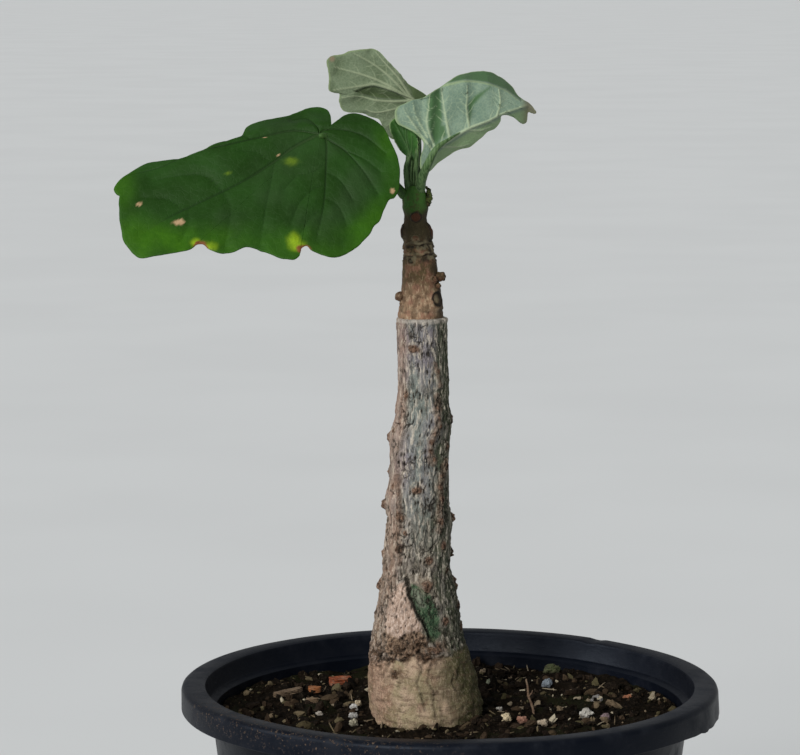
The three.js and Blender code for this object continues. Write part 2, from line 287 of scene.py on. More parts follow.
def unit_sheet(name, columns, rows):
    """A grid whose corners lie in the unit square, with the two coordinates of each."""
    obj = new_primitive(name, bpy.ops.mesh.primitive_grid_add, x_subdivisions=columns, y_subdivisions=rows,
                        size=1, location=(0.5, 0.5, 0))
    spots = places(obj)
    return obj, spots[:, 0] * MM, spots[:, 1] * MM


def places(obj):
    """Where a mesh's vertices are, in millimetres."""
    flat = np.empty(len(obj.data.vertices) * 3)
    obj.data.vertices.foreach_get("co", flat)
    return flat.reshape(-1, 3) / MM


def put(obj, spots):
    """Moves a mesh's vertices to places in millimetres."""
    obj.data.vertices.foreach_set("co", (np.asarray(spots) * MM).astype(np.float32).ravel())
    obj.data.update()


def attribute(obj, name, values):
    """Stores one number for each vertex, for the finish to read."""
    layer = obj.data.attributes.new(name, "FLOAT", "POINT")
    layer.data.foreach_set("value", np.asarray(values, np.float32))


def weld(obj, distance=0.004):
    """Merges corners that meet, then turns every face outwards."""
    pick(obj)
    bpy.ops.object.mode_set(mode="EDIT")
    bpy.ops.mesh.select_all(action="SELECT")
    bpy.ops.mesh.remove_doubles(threshold=distance * MM)
    bpy.ops.mesh.normals_make_consistent(inside=False)
    bpy.ops.object.mode_set(mode="OBJECT")


def fill_ends(obj):
    """Closes the open rims of a tube."""
    pick(obj)
    bpy.ops.object.mode_set(mode="EDIT")
    bpy.ops.mesh.select_all(action="SELECT")
    bpy.ops.mesh.region_to_loop()
    bpy.ops.mesh.fill_holes(sides=0)
    bpy.ops.mesh.select_all(action="SELECT")
    bpy.ops.mesh.normals_make_consistent(inside=False)
    bpy.ops.object.mode_set(mode="OBJECT")


def smooth(obj, angle=None):
    pick(obj)
    if angle is None:
        bpy.ops.object.shade_smooth()
    else:
        bpy.ops.object.shade_smooth_by_angle(angle=math.radians(angle))


def finish_with(obj, kind, **values):
    """Adds one modifier and applies it."""
    pick(obj)
    modifier = obj.modifiers.new(kind.title(), kind)
    for name, value in values.items():
        setattr(modifier, name, value)
    bpy.ops.object.modifier_apply(modifier=modifier.name)


def join(name, parts):
    """Makes one object of several."""
    clear_selection()
    for part in parts:
        part.select_set(True)
    bpy.context.view_layer.objects.active = parts[0]
    if len(parts) > 1:
        bpy.ops.object.join()
    parts[0].name = name
    parts[0].data.name = name
    return parts[0]


def place_piece(obj, replaces=()):
    """Ties a finished piece to the frame."""
    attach(obj, BODY)
    if replaces:
        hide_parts(*replaces)
    return obj


def rod(name, path, radii, sides=14, rings=40, bumps=0.0, seed=0):
    """A tapering rod along a smooth line, its ends closed and rounded."""
    obj, u, v = unit_sheet(name, sides, rings)
    line = smooth_line(path, 200)
    forward = np.gradient(line, axis=0)
    forward /= np.linalg.norm(forward, axis=1)[:, None]
    side = np.cross(forward, [0.31, 0.92, 0.23])
    side /= np.linalg.norm(side, axis=1)[:, None]
    up = np.cross(side, forward)
    at = np.linspace(0, 1, len(line))
    pieces = [np.stack([np.interp(v, at, source[:, k]) for k in range(3)], axis=1) for source in (line, side, up)]
    centre, side, up = pieces
    angle = 2 * math.pi * u
    radius = np.interp(v, np.linspace(0, 1, len(radii)), radii)
    edge = np.minimum(v, 1 - v) * rings / 3
    radius = radius * np.sqrt(np.clip(edge, 0, 1) * (2 - np.clip(edge, 0, 1)))
    spread = side * np.cos(angle)[:, None] + up * np.sin(angle)[:, None]
    around = np.stack([np.cos(angle), np.sin(angle), v * rings / 4], axis=1)
    radius = radius * (1 + bumps * fractal(around * 1.5, 3, seed))
    put(obj, centre + spread * radius[:, None])
    weld(obj)
    smooth(obj)
    return obj


# ------------------------------------------------------------------ shader expressions


class Value:
    """A shader socket that takes part in expressions: each operation adds a Math node."""

    def __init__(self, finish, socket):
        self.finish = finish
        self.socket = socket

    def __add__(self, other):
        return self.finish.math("ADD", self, other)

    def __sub__(self, other):
        return self.finish.math("SUBTRACT", self, other)

    def __rsub__(self, other):
        return self.finish.math("SUBTRACT", other, self)

    def __mul__(self, other):
        return self.finish.math("MULTIPLY", self, other)

    def __truediv__(self, other):
        return self.finish.math("DIVIDE", self, other)

    def __pow__(self, other):
        return self.finish.math("POWER", self, other)

    __radd__ = __add__
    __rmul__ = __mul__

    def band(self, low, high):
        """0 at low and 1 at high, smooth between, and held there beyond."""
        settings = {"interpolation_type": "SMOOTHSTEP"}
        sockets = {"Value": self, "From Min": low, "From Max": high}
        return self.finish.node("ShaderNodeMapRange", settings, sockets, "Result")


class Finish:
    """A node material under construction, with a Principled shader at its end."""

    def __init__(self, name, **constants):
        self.material = bpy.data.materials.new(name)
        self.material.use_nodes = True
        self.tree = self.material.node_tree
        self.shader = self.tree.nodes["Principled BSDF"]
        for socket, value in constants.items():
            self.shader.inputs[socket.replace("_", " ")].default_value = value
        self.place = self.node("ShaderNodeTexCoord", {}, {}, "Object")

    def feed(self, socket, value):
        if isinstance(value, Value):
            self.tree.links.new(value.socket, socket)
        elif isinstance(value, (tuple, list)) and len(value) == 3 and socket.type == "RGBA":
            socket.default_value = (*value, 1)
        else:
            socket.default_value = value

    def node(self, kind, settings, sockets, output=None):
        """Adds a node: its settings first, then its sockets' values or links. Returns the named output."""
        added = self.tree.nodes.new(kind)
        for name, value in settings.items():
            if name == "stops":
                self.set_stops(added.color_ramp, value)
            else:
                setattr(added, name, value)
        for name, value in sockets.items():
            self.feed(added.inputs[name], value)
        return Value(self, added.outputs[output if output is not None else 0])

    def set_stops(self, ramp, stops):
        while len(ramp.elements) < len(stops):
            ramp.elements.new(0.5)
        for element, (position, colour) in zip(ramp.elements, stops):
            element.position = position
            element.color = (*colour, 1)

    def math(self, operation, *values):
        return self.node("ShaderNodeMath", {"operation": operation}, dict(enumerate(values)))

    def blend(self, factor, first, second, how="MIX"):
        """Mixes two colours."""
        settings = {"data_type": "RGBA", "blend_type": how}
        added = self.tree.nodes.new("ShaderNodeMix")
        for name, value in settings.items():
            setattr(added, name, value)
        self.feed(added.inputs[0], factor)
        self.feed(added.inputs[6], first)
        self.feed(added.inputs[7], second)
        return Value(self, added.outputs[2])

    def stretched(self, per_mm):
        """The place on the piece, counted in steps per millimetre along each axis."""
        scale = tuple(step / MM for step in per_mm)
        return self.node("ShaderNodeMapping", {}, {"Vector": self.place, "Scale": scale}, "Vector")

    def noise(self, size, detail=4, roughness=0.55, stretch=(1, 1, 1), twist=0, output="Factor"):
        """Layered noise whose lumps are about size millimetres across, stretched along the axes."""
        where = self.stretched([1 / (size * k) for k in stretch])
        sockets = {"Vector": where, "Scale": 1, "Detail": detail, "Roughness": roughness, "Distortion": twist}
        return self.node("ShaderNodeTexNoise", {}, sockets, 0 if output == "Factor" else output)

    def lumps(self, size, stretch=(1, 1, 1), feature="F1", output="Distance"):
        """Voronoi cells about size millimetres across."""
        where = self.stretched([1 / (size * k) for k in stretch])
        return self.node("ShaderNodeTexVoronoi", {"feature": feature}, {"Vector": where, "Scale": 1}, output)

    def mask(self, name):
        """A number stored on the piece's vertices."""
        return self.node("ShaderNodeAttribute", {"attribute_name": name}, {}, "Fac")

    def tone(self, value, *stops):
        """A colour read from evenly or freely placed stops."""
        return self.node("ShaderNodeValToRGB", {"stops": stops}, {"Fac": value}, "Color")

    def done(self, colour, roughness=0.6, height=None, depth=0.1, strength=1.0):
        """Connects the finish: colour, roughness, and a bump whose height of 1 stands depth millimetres."""
        self.feed(self.shader.inputs["Base Color"], colour)
        self.feed(self.shader.inputs["Roughness"], roughness)
        if height is not None:
            sockets = {"Height": height, "Distance": depth * MM, "Strength": strength}
            self.feed(self.shader.inputs["Normal"], self.node("ShaderNodeBump", {}, sockets, "Normal"))
        return self.material


def dress(obj, *materials):
    obj.data.materials.clear()
    for material in materials:
        obj.data.materials.append(material)


# ------------------------------------------------------------------ finishes


def plastic_finish():
    """Satin black plastic with mould marks, fine scuffs, dried soil on the rim, and a painted bluish sheen round
    the top of the rim.
    """
    group = bpy.context.scene.uncarina_pot
    f = Finish("pot_plastic", Specular_IOR_Level=0.11, Specular_Tint=(0.75, 0.85, 1.0, 1.0))
    cloud = f.noise(30, detail=3)
    fine = f.noise(1.2, detail=5, roughness=0.7)
    scuff = f.noise(2.5, detail=6, stretch=(1, 1, 0.25)).band(0.55, 0.8)
    where = f.node("ShaderNodeSeparateXYZ", {}, {"Vector": f.place}, "Z")
    painted_rim_sheen = (where / MM).band(POT_HEIGHT - 2.5, POT_HEIGHT - 0.5)
    left_front = f.mask("dusty")
    specks = f.noise(0.9, detail=6, roughness=0.7).band(0.56, 0.66) * left_front
    film = f.noise(9, detail=5, roughness=0.65).band(0.42, 0.75)
    colour = f.blend(cloud * 0.6, tuple(group.plastic), (0.0035, 0.0048, 0.0095))
    colour = f.blend(film * 0.05 + scuff * 0.025, colour, (0.09, 0.09, 0.105))
    # Painted highlight: a bluish-grey sheen over the top 2.5 mm of the pot, broken up by the film noise.
    colour = f.blend(painted_rim_sheen * film * 0.06, colour, (0.10, 0.115, 0.14))
    colour = f.blend(specks, colour, tuple(group.dust))
    roughness = 0.33 + film * 0.20 + specks * 0.3 + fine * 0.10
    height = fine * 0.4 + scuff * 0.3 + specks
    return f.done(colour, roughness, height, depth=0.12)


def soil_finish():
    """Damp peat with fibres and moss, and pale flecks that are partly grit and partly painted glints of light."""
    group = bpy.context.scene.uncarina_soil
    f = Finish("potting_mix", Specular_IOR_Level=0.03)
    patches = f.noise(9, detail=3)
    grain = f.noise(1.1, detail=6, roughness=0.7)
    moss = f.noise(14, detail=4).band(0.52, 0.66)
    colour = f.blend(grain.band(0.4, 0.75), tuple(group.peat), (0.022, 0.015, 0.009))
    colour = f.blend(patches.band(0.45, 0.7) * 0.6, colour, (0.010, 0.007, 0.004))
    colour = f.blend(moss * 0.45, colour, (0.018, 0.021, 0.008))
    # Pale flecks: partly grit, partly painted glints of light.
    glints = f.lumps(0.9).band(0.20, 0.08) * f.noise(4).band(0.52, 0.62)
    colour = f.blend(glints * 0.7, colour, (0.22, 0.19, 0.14))
    return f.done(colour, 0.75 + grain * 0.2, grain + f.noise(0.35, detail=3) * 0.5, depth=0.7)


def crumb_finish():
    """Crumbs of peat, bark and grit, each with its own tone."""
    f = Finish("soil_crumbs", Specular_IOR_Level=0.05)
    kind = f.mask("tone")
    grain = f.noise(0.5, detail=5, roughness=0.7)
    colour = f.tone(kind, (0.0, (0.004, 0.003, 0.002)), (0.35, (0.014, 0.009, 0.006)),
                    (0.62, (0.050, 0.033, 0.020)),
                    (0.76, (0.070, 0.062, 0.030)), (0.90, (0.17, 0.125, 0.08)), (1.0, (0.46, 0.41, 0.30)))
    colour = f.blend(grain.band(0.5, 0.75) * 0.5, colour, (0.075, 0.055, 0.035))
    colour = f.blend(grain.band(0.5, 0.3) * 0.6, colour, (0.004, 0.003, 0.002))
    return f.done(colour, 0.85, grain, depth=0.25)


def stone_finish(name, base, dark, light, moss=0.0):
    """Pitted mineral with pores and dust, darker towards its bottom where it meets the mix."""
    f = Finish(name, Specular_IOR_Level=0.3)
    grain = f.noise(0.6, detail=6, roughness=0.7)
    pores = f.lumps(0.42).band(0.32, 0.12)
    veins = f.noise(1.6, detail=4)
    colour = f.blend(veins.band(0.35, 0.65), base, light)
    colour = f.blend(grain.band(0.55, 0.75) * 0.6, colour, dark)
    colour = f.blend(pores * 0.75, colour, dark)
    low = f.node("ShaderNodeSeparateXYZ", {}, {"Vector": f.place}, "Z") / MM
    # Darker towards the bottom, within about 2 mm above the mix.
    darker_near_mix = low.band(SOIL_TOP + 2.2, SOIL_TOP + 0.2) * (0.4 + grain)
    colour = f.blend(darker_near_mix * 0.8, colour, (0.03, 0.02, 0.014))
    if moss:
        colour = f.blend(f.noise(1.5).band(0.4, 0.6) * moss, colour, (0.05, 0.07, 0.02))
    return f.done(colour, 0.9, grain - pores, depth=0.25)


def dry_bark_finish(name, base, dark):
    """Fibrous dry bark: streaks along the grain and a split surface."""
    f = Finish(name, Specular_IOR_Level=0.3)
    fibres = f.noise(0.45, detail=5, roughness=0.65, stretch=(6, 1, 1))
    blotch = f.noise(2.2, detail=4)
    colour = f.blend(fibres.band(0.35, 0.7), dark, base)
    colour = f.blend(blotch.band(0.5, 0.7) * 0.5, colour, (0.30, 0.22, 0.15))
    low = f.node("ShaderNodeSeparateXYZ", {}, {"Vector": f.place}, "Z") / MM
    colour = f.blend(low.band(SOIL_TOP + 1.2, SOIL_TOP) * 0.7, colour, (0.03, 0.02, 0.014))
    return f.done(colour, 0.85, fibres, depth=0.25)


def rootstock_finish():
    """Grey fissured bark with brown warts, a pale plate, a green peeled patch and a smooth tan foot, with painted
    light on its left side and painted shade on its right side and in its cracks and pits.
    """
    f = Finish("rootstock_bark", Specular_IOR_Level=0.10)
    streak = f.noise(0.8, detail=6, roughness=0.66, stretch=(1, 1, 4.5), twist=0.35)
    grain = f.noise(0.55, detail=5, roughness=0.7, stretch=(1, 1, 2.2))
    broad = f.noise(7, detail=4, stretch=(1, 1, 2.5))
    speck = f.noise(0.28, detail=4, roughness=0.7, stretch=(1, 1, 1.6))
    bark = f.blend(broad.band(0.35, 0.65), (0.215, 0.195, 0.215), (0.185, 0.215, 0.195))
    # Painted light with the bark's pinkish tone: the left side is made lighter and warmer.
    bark = f.blend(f.mask("left"), bark, (0.27, 0.175, 0.13))
    brownish = f.blend(grain.band(0.4, 0.6), (0.105, 0.078, 0.050), (0.29, 0.22, 0.155))
    bark = f.blend(f.mask("low_brown"), bark, brownish)
    # Painted shade: the right side is darkened to a deep olive.
    bark = f.blend(f.mask("right"), bark, (0.066, 0.078, 0.048))
    bark = f.blend(f.noise(2.6, detail=5, stretch=(1, 1, 1.8)).band(0.52, 0.68) * 0.55, bark,
                   (0.075, 0.068, 0.050))
    bark = f.blend(streak.band(0.5, 0.62) * 0.8, bark, (0.56, 0.50, 0.41))
    # More painted light on the left side.
    bark = f.blend(f.mask("left") * 0.45, bark, (0.33, 0.205, 0.15))
    bark = f.blend(streak.band(0.47, 0.35) * 0.75, bark, (0.045, 0.043, 0.036))
    bark = f.blend(f.mask("plates") * 0.3, bark, (0.36, 0.32, 0.29))
    foot = f.blend(f.noise(6, detail=5).band(0.40, 0.60), (0.46, 0.335, 0.235), (0.30, 0.245, 0.145))
    foot = f.blend(f.noise(3.2, detail=5).band(0.52, 0.66) * 0.5, foot, (0.30, 0.175, 0.12))
    pinkish = f.blend(grain.band(0.4, 0.6), (0.14, 0.065, 0.042), (0.34, 0.19, 0.13))
    # Painted light with a pinkish tone on the foot's left side, painted shade on its right side.
    foot = f.blend(f.mask("left") * 0.8, foot, pinkish)
    foot = f.blend(f.mask("right"), foot, f.blend(grain, (0.038, 0.038, 0.015), (0.098, 0.096, 0.036)))
    foot = f.blend(f.noise(4.5, detail=4).band(0.50, 0.66) * 0.5, foot, (0.15, 0.125, 0.060))
    foot = f.blend(grain.band(0.5, 0.7) * 0.55, foot, (0.52, 0.42, 0.30))
    foot = f.blend(grain.band(0.45, 0.3) * 0.5, foot, (0.15, 0.105, 0.07))
    foot = f.blend(f.noise(1.6, detail=5, stretch=(1.6, 1.6, 0.4)).band(0.53, 0.62) * 0.55, foot,
                   (0.14, 0.09, 0.06))
    colour = f.blend(f.mask("foot"), bark, foot)
    rough = f.blend(grain.band(0.4, 0.6), (0.075, 0.045, 0.030), (0.33, 0.225, 0.15))
    colour = f.blend(f.mask("rough"), colour, rough)
    pale = f.blend(grain.band(0.4, 0.65), (0.34, 0.235, 0.175), (0.60, 0.465, 0.385))
    colour = f.blend(f.mask("plate"), colour, pale)
    green = f.blend(grain.band(0.4, 0.62), (0.018, 0.042, 0.022), (0.085, 0.150, 0.080))
    colour = f.blend(f.mask("green"), colour, green)
    colour = f.blend(f.mask("pale_green"), colour, f.blend(grain, (0.10, 0.13, 0.09), (0.25, 0.27, 0.20)))
    brown = f.blend(grain.band(0.38, 0.65), (0.050, 0.026, 0.017), (0.25, 0.155, 0.105))
    colour = f.blend(f.mask("wart"), colour, brown)
    colour = f.blend(f.mask("halo") * 0.28, colour, (0.40, 0.33, 0.25))
    stained = f.blend(grain.band(0.4, 0.6), (0.022, 0.013, 0.008), (0.13, 0.075, 0.045))
    colour = f.blend(f.mask("stain"), colour, stained)
    # Painted shade: cracks, pits, holes, grooves, the foot's seams and the step's shadowed edge darkened towards
    # black.
    colour = f.blend(f.mask("pit"), colour, (0.010, 0.008, 0.006))
    colour = f.blend(f.mask("collar") * grain.band(0.3, 0.6), colour, (0.50, 0.45, 0.39))
    colour = f.blend(speck.band(0.54, 0.70) * 0.42, colour, (0.58, 0.49, 0.38))
    colour = f.blend(speck.band(0.46, 0.32) * 0.6, colour, (0.028, 0.022, 0.016))
    height = grain * 0.6 + streak * 0.8 + speck * 0.5
    return f.done(colour, 0.68 + grain * 0.22, height, depth=0.46)


def scion_finish():
    """Tan-brown smooth bark that turns olive and then green at the growing end, with painted highlights in pale
    streaks low down and painted shade on its right side.
    """
    f = Finish("scion_bark", Specular_IOR_Level=0.14)
    high = f.node("ShaderNodeSeparateXYZ", {}, {"Vector": f.place}, "Z") / MM + f.noise(3, detail=3) * 4 - 2
    streak = f.noise(0.8, detail=6, roughness=0.65, stretch=(1, 1, 2.6), twist=0.4)
    blotch = f.noise(2.4, detail=4)
    speck = f.noise(0.3, detail=4, roughness=0.7)
    colour = f.blend(high.band(232, 240), (0.285, 0.185, 0.112), (0.082, 0.058, 0.024))
    colour = f.blend(blotch.band(0.45, 0.62) * 0.55, colour, (0.27, 0.125, 0.085))
    colour = f.blend(high.band(247, 252), colour, (0.030, 0.026, 0.012))
    # Painted highlights: pale streaks on the lower scion, mostly below 240 mm.
    lit = streak.band(0.5, 0.64) * high.band(243, 233) * 0.5 + streak.band(0.52, 0.66) * 0.15
    colour = f.blend(lit, colour, (0.52, 0.39, 0.26))
    colour = f.blend(streak.band(0.47, 0.36) * 0.6, colour, (0.085, 0.045, 0.028))
    colour = f.blend(high.band(246, 252), colour, f.blend(streak, (0.022, 0.018, 0.008), (0.060, 0.048, 0.022)))
    colour = f.blend(high.band(255.5, 259), colour,
                     f.blend(streak, (0.028, 0.090, 0.012), (0.060, 0.155, 0.030)))
    colour = f.blend(blotch.band(0.48, 0.34) * 0.6, colour, (0.07, 0.040, 0.022))
    # Painted shade on the right side below about 255 mm, and on the knobs.
    colour = f.blend(f.mask("right") * 0.8, colour, (0.030, 0.022, 0.010))
    colour = f.blend(f.mask("scar"), colour, f.blend(blotch, (0.040, 0.014, 0.007), (0.115, 0.048, 0.024)))
    colour = f.blend(f.mask("dark"), colour, (0.010, 0.009, 0.007))
    colour = f.blend(f.mask("rim") * 0.75, colour, (0.19, 0.165, 0.10))
    colour = f.blend(speck.band(0.45, 0.28) * 0.45, colour, (0.03, 0.018, 0.012))
    colour = f.blend(speck.band(0.56, 0.75) * 0.2, colour, (0.38, 0.28, 0.19))
    return f.done(colour, 0.55 + streak * 0.2, streak + blotch * 0.4 + speck * 0.4, depth=0.26)


def mature_leaf_finish():
    """Upper side of the old leaf: dark green, finely netted, yellow and brown where it is damaged, with greyish
    patches of painted sheen across its middle.
    """
    group = bpy.context.scene.uncarina_plant
    f = Finish("mature_leaf", Specular_IOR_Level=0.10)
    cloud = f.noise(14, detail=4)
    fine = f.noise(1.1, detail=5, roughness=0.65)
    net = f.lumps(1.7, feature="DISTANCE_TO_EDGE").band(0.10, 0.02)
    colour = f.blend(cloud.band(0.35, 0.68), tuple(group.mature_green), (0.0150, 0.054, 0.0065))
    colour = f.blend(fine.band(0.5, 0.75) * 0.3, colour, (0.035, 0.080, 0.022))
    colour = f.blend(f.mask("grey") * 0.45, colour, (0.028, 0.056, 0.020))
    # Painted sheen: greyish patches across the middle of the blade.
    colour = f.blend(net * 0.05, colour, (0.045, 0.095, 0.030))
    colour = f.blend(f.mask("vein_side") * 0.4, colour, (0.006, 0.020, 0.004))
    colour = f.blend(f.mask("vein") * 0.6, colour, (0.006, 0.018, 0.004))
    colour = f.blend(f.mask("vein_core") * 0.3, colour, (0.045, 0.085, 0.025))
    colour = f.blend(f.mask("light"), colour, f.blend(fine, (0.018, 0.082, 0.002), (0.050, 0.150, 0.004)))
    colour = f.blend(f.mask("yellow"), colour, f.blend(fine, (0.12, 0.26, 0.006), (0.42, 0.55, 0.02)))
    colour = f.blend(f.mask("tan"), colour, f.blend(fine, (0.26, 0.15, 0.07), (0.52, 0.37, 0.22)))
    colour = f.blend(f.mask("brown"), colour, f.blend(fine, (0.075, 0.018, 0.006), (0.24, 0.10, 0.035)))
    height = fine * 0.6 - net * 0.3 + f.noise(0.4, detail=3) * 0.3
    return f.done(colour, 0.42 + fine * 0.18, height, depth=0.08)


def felt_finish(name, base, between, vein, rim, deep):
    """Underside of a leaf: pale felt over green, with raised pale veins, painted shade in its folds, painted light
    on the strip under the keel, and a pale rim that takes the painted highlight along the crease.
    """
    f = Finish(name, Specular_IOR_Level=0.2, Sheen_Weight=0.08, Sheen_Roughness=0.6)
    cloud = f.noise(6, detail=4)
    fine = f.noise(0.5, detail=5, roughness=0.7)
    net = f.lumps(1.1, feature="DISTANCE_TO_EDGE").band(0.14, 0.02)
    colour = f.blend(cloud.band(0.35, 0.65), base, between)
    colour = f.blend(fine.band(0.42, 0.66) * 0.6, colour, between)
    colour = f.blend(fine.band(0.6, 0.75) * 0.4, colour, vein)
    colour = f.blend(net * 0.16, colour, vein)
    # Painted light: the strip under the right leaf's keel, which faces down into shade, is lightened.
    colour = f.blend(f.mask("under"), colour, f.blend(fine, (0.19, 0.30, 0.13), (0.30, 0.42, 0.21)))
    # Painted shade in the folds and pleats and above the crease.
    colour = f.blend(f.mask("deep"), colour, f.blend(fine, deep, tuple(1.9 * c for c in deep)))
    colour = f.blend(f.mask("vein_side") * 0.45, colour, vein)
    colour = f.blend(f.mask("vein") * 0.75, colour, vein)
    # The pale rim holds the leaf's margin and, on the right leaf, a painted highlight along the crease.
    colour = f.blend(f.mask("rim"), colour, rim)
    colour = f.blend(f.mask("tan"), colour, (0.16, 0.13, 0.08))
    height = fine * 0.8 + net * 0.3
    return f.done(colour, 0.75 + fine * 0.15, height, depth=0.12)


def green_finish(name, dark, light):
    """Petioles and unopened leaves: green with fine ribs along them."""
    f = Finish(name, Specular_IOR_Level=0.22, Sheen_Weight=0.03)
    ribs = f.noise(0.5, detail=4, stretch=(1, 1, 6))
    colour = f.blend(ribs.band(0.35, 0.65), dark, light)
    colour = f.blend(ribs.band(0.44, 0.34) * 0.6, colour, tuple(0.3 * c for c in dark))
    return f.done(colour, 0.5 + ribs * 0.1, ribs, depth=0.08)


# ------------------------------------------------------------------ pot and soil


class UNCARINA_OT_pot(bpy.types.Operator):
    """Spins the pot from its profile, cuts the drain holes and adds the moulding flash"""

    bl_idname = "uncarina.pot"
    bl_label = "Pot"

    def execute(self, context):
        group = context.scene.uncarina_pot
        rim = group.rim_width / MM
        wall = group.wall / MM
        inner = RIM_RADIUS - rim
        foot, neck, neck_height, ledge = 52.0, 66.6, 117.2, 118.9
        lip = POT_HEIGHT - wall - 0.9
        skirt = POT_HEIGHT - 6.8
        profile = [
            (0, 0), (foot - 1.8, 0), (foot - 0.6, 0.4), (foot + 0.1, 1.6), (neck, neck_height),
            (inner + 0.8, ledge + 0.4), (inner + 1, lip - 0.3), (inner + 1.3, lip),
            (RIM_RADIUS - wall - 0.3, lip),
            (RIM_RADIUS - wall, lip - 0.4), (RIM_RADIUS - wall + 0.1, skirt + 0.2),
            (RIM_RADIUS - wall + 0.3, skirt),
            (RIM_RADIUS - 0.15, skirt), (RIM_RADIUS, skirt + 0.2), (RIM_RADIUS, POT_HEIGHT - 1.5),
            (RIM_RADIUS - 0.25, POT_HEIGHT - 0.7), (RIM_RADIUS - 0.8, POT_HEIGHT - 0.2),
            (RIM_RADIUS - 1.6, POT_HEIGHT), (inner + 0.9, POT_HEIGHT - 0.05), (inner + 0.2, POT_HEIGHT - 0.4),
            (inner, POT_HEIGHT - 1.0), (inner - 0.5, ledge + 0.9), (inner - 0.8, ledge + 0.4),
            (neck - wall + 0.5, ledge - 0.1), (neck - wall + 0.1, ledge - 0.5),
            (neck - wall, neck_height - 0.8),
            (foot - wall + 0.4, 3.4), (foot - wall - 0.5, 2.0), (foot - wall - 2, 1.6), (0, 1.6),
        ]
        clear_selection()
        bpy.ops.mesh.primitive_plane_add(size=0.01, location=(0, 0, 0))
        obj = context.object
        obj.name = obj.data.name = "pot_moulded"
        line = rounded(profile)
        obj.data.clear_geometry()
        obj.data.from_pydata([(r * MM, 0, z * MM) for r, z in line],
                             [(i, i + 1) for i in range(len(line) - 1)], [])
        pick(obj)
        bpy.ops.object.mode_set(mode="EDIT")
        bpy.ops.mesh.select_all(action="SELECT")
        bpy.ops.mesh.spin(steps=POT_STEPS, angle=2 * math.pi, center=(0, 0, 0), axis=(0, 0, 1))
        bpy.ops.object.mode_set(mode="OBJECT")
        weld(obj, 0.01)
        self.cut_drains(obj, foot)
        self.roughen(obj)
        smooth(obj, 35)
        dress(obj, plastic_finish())
        place_piece(obj, ["pot"])
        return {"FINISHED"}

    def cut_drains(self, obj, foot):
        """Eight rounded slots where the floor meets the wall."""
        slots = []
        for turn in range(8):
            angle = (turn + 0.5) * math.pi / 4
            slot = new_primitive(
                f"slot_{turn}", bpy.ops.mesh.primitive_cube_add, size=1, scale=(12 * MM, 8 * MM, 15 * MM),
                location=((foot - 1) * MM * math.cos(angle), (foot - 1) * MM * math.sin(angle), MM),
                rotation=(0, 0, angle))
            finish_with(slot, "BEVEL", width=1.5 * MM, segments=3, limit_method="NONE")
            slots.append(slot)
        cutter = join("drain_slots", slots)
        finish_with(obj, "BOOLEAN", object=cutter, operation="DIFFERENCE", solver="EXACT")
        bpy.data.objects.remove(cutter)

    def roughen(self, obj):
        """Slight waviness of the thin rim, and the torn flash that the mould left under its right side."""
        spots = places(obj)
        angle = np.arctan2(spots[:, 1], spots[:, 0])
        reach = np.hypot(spots[:, 0], spots[:, 1])
        ring = np.stack([np.cos(angle), np.sin(angle), np.zeros(len(angle))], axis=1)
        upper = ease(spots[:, 2], 100, 118)
        spots[:, 2] += upper * 0.22 * fractal(ring * 1.7, 2, seed=3)
        near = ease(np.abs(angle - math.radians(-17)), math.radians(17), math.radians(6))
        hem = ease(spots[:, 2], POT_HEIGHT - 5.8, POT_HEIGHT - 6.7) * (reach > RIM_RADIUS - 2)
        torn = near * hem * (0.35 + 0.65 * value_noise(ring * 60, seed=5))
        spots[:, 2] -= 0.8 * torn
        spots[:, :2] *= (1 + 0.009 * torn)[:, None]
        nick = ease(np.abs(angle - math.radians(52)), math.radians(2.2),
                    math.radians(0.6)) * (spots[:, 2] > 122)
        spots[:, 2] -= 0.35 * nick
        put(obj, spots)
        left_front = ease(np.abs(angle - math.radians(-128)), math.radians(48), math.radians(12))
        attribute(obj, "dusty", left_front * ease(spots[:, 2], 121, 124.5))


def rounded(profile):
    """The profile with its long straight runs cut up, so that the spun faces stay short."""
    line = [profile[0]]
    for (r0, z0), (r1, z1) in zip(profile, profile[1:]):
        count = max(1, math.ceil(math.hypot(r1 - r0, z1 - z0) / 6))
        line += [(r0 + (r1 - r0) * k / count, z0 + (z1 - z0) * k / count) for k in range(1, count + 1)]
    return line


def soil_height(x, y):
    """Height of the mix at a place: uneven, a little heaped at the wall, drawn down round the stem."""
    flat = np.stack([x, y, np.zeros(len(x))], axis=1)
    reach = np.hypot(x, y)
    heap = 1.1 * ease(reach, 40, 62) * (0.6 + 0.4 * fractal(flat / 18, 2, seed=11))
    lumps = 1.25 * fractal(flat / 9, 4, seed=12) + 0.9 * fractal(flat / 3.0, 4, seed=13, gain=0.62)
    stem = np.hypot(x - STEM_X, y)
    dip = 0.7 * ease(stem, 24, 15)
    return SOIL_TOP + 0.6 + heap + lumps - dip


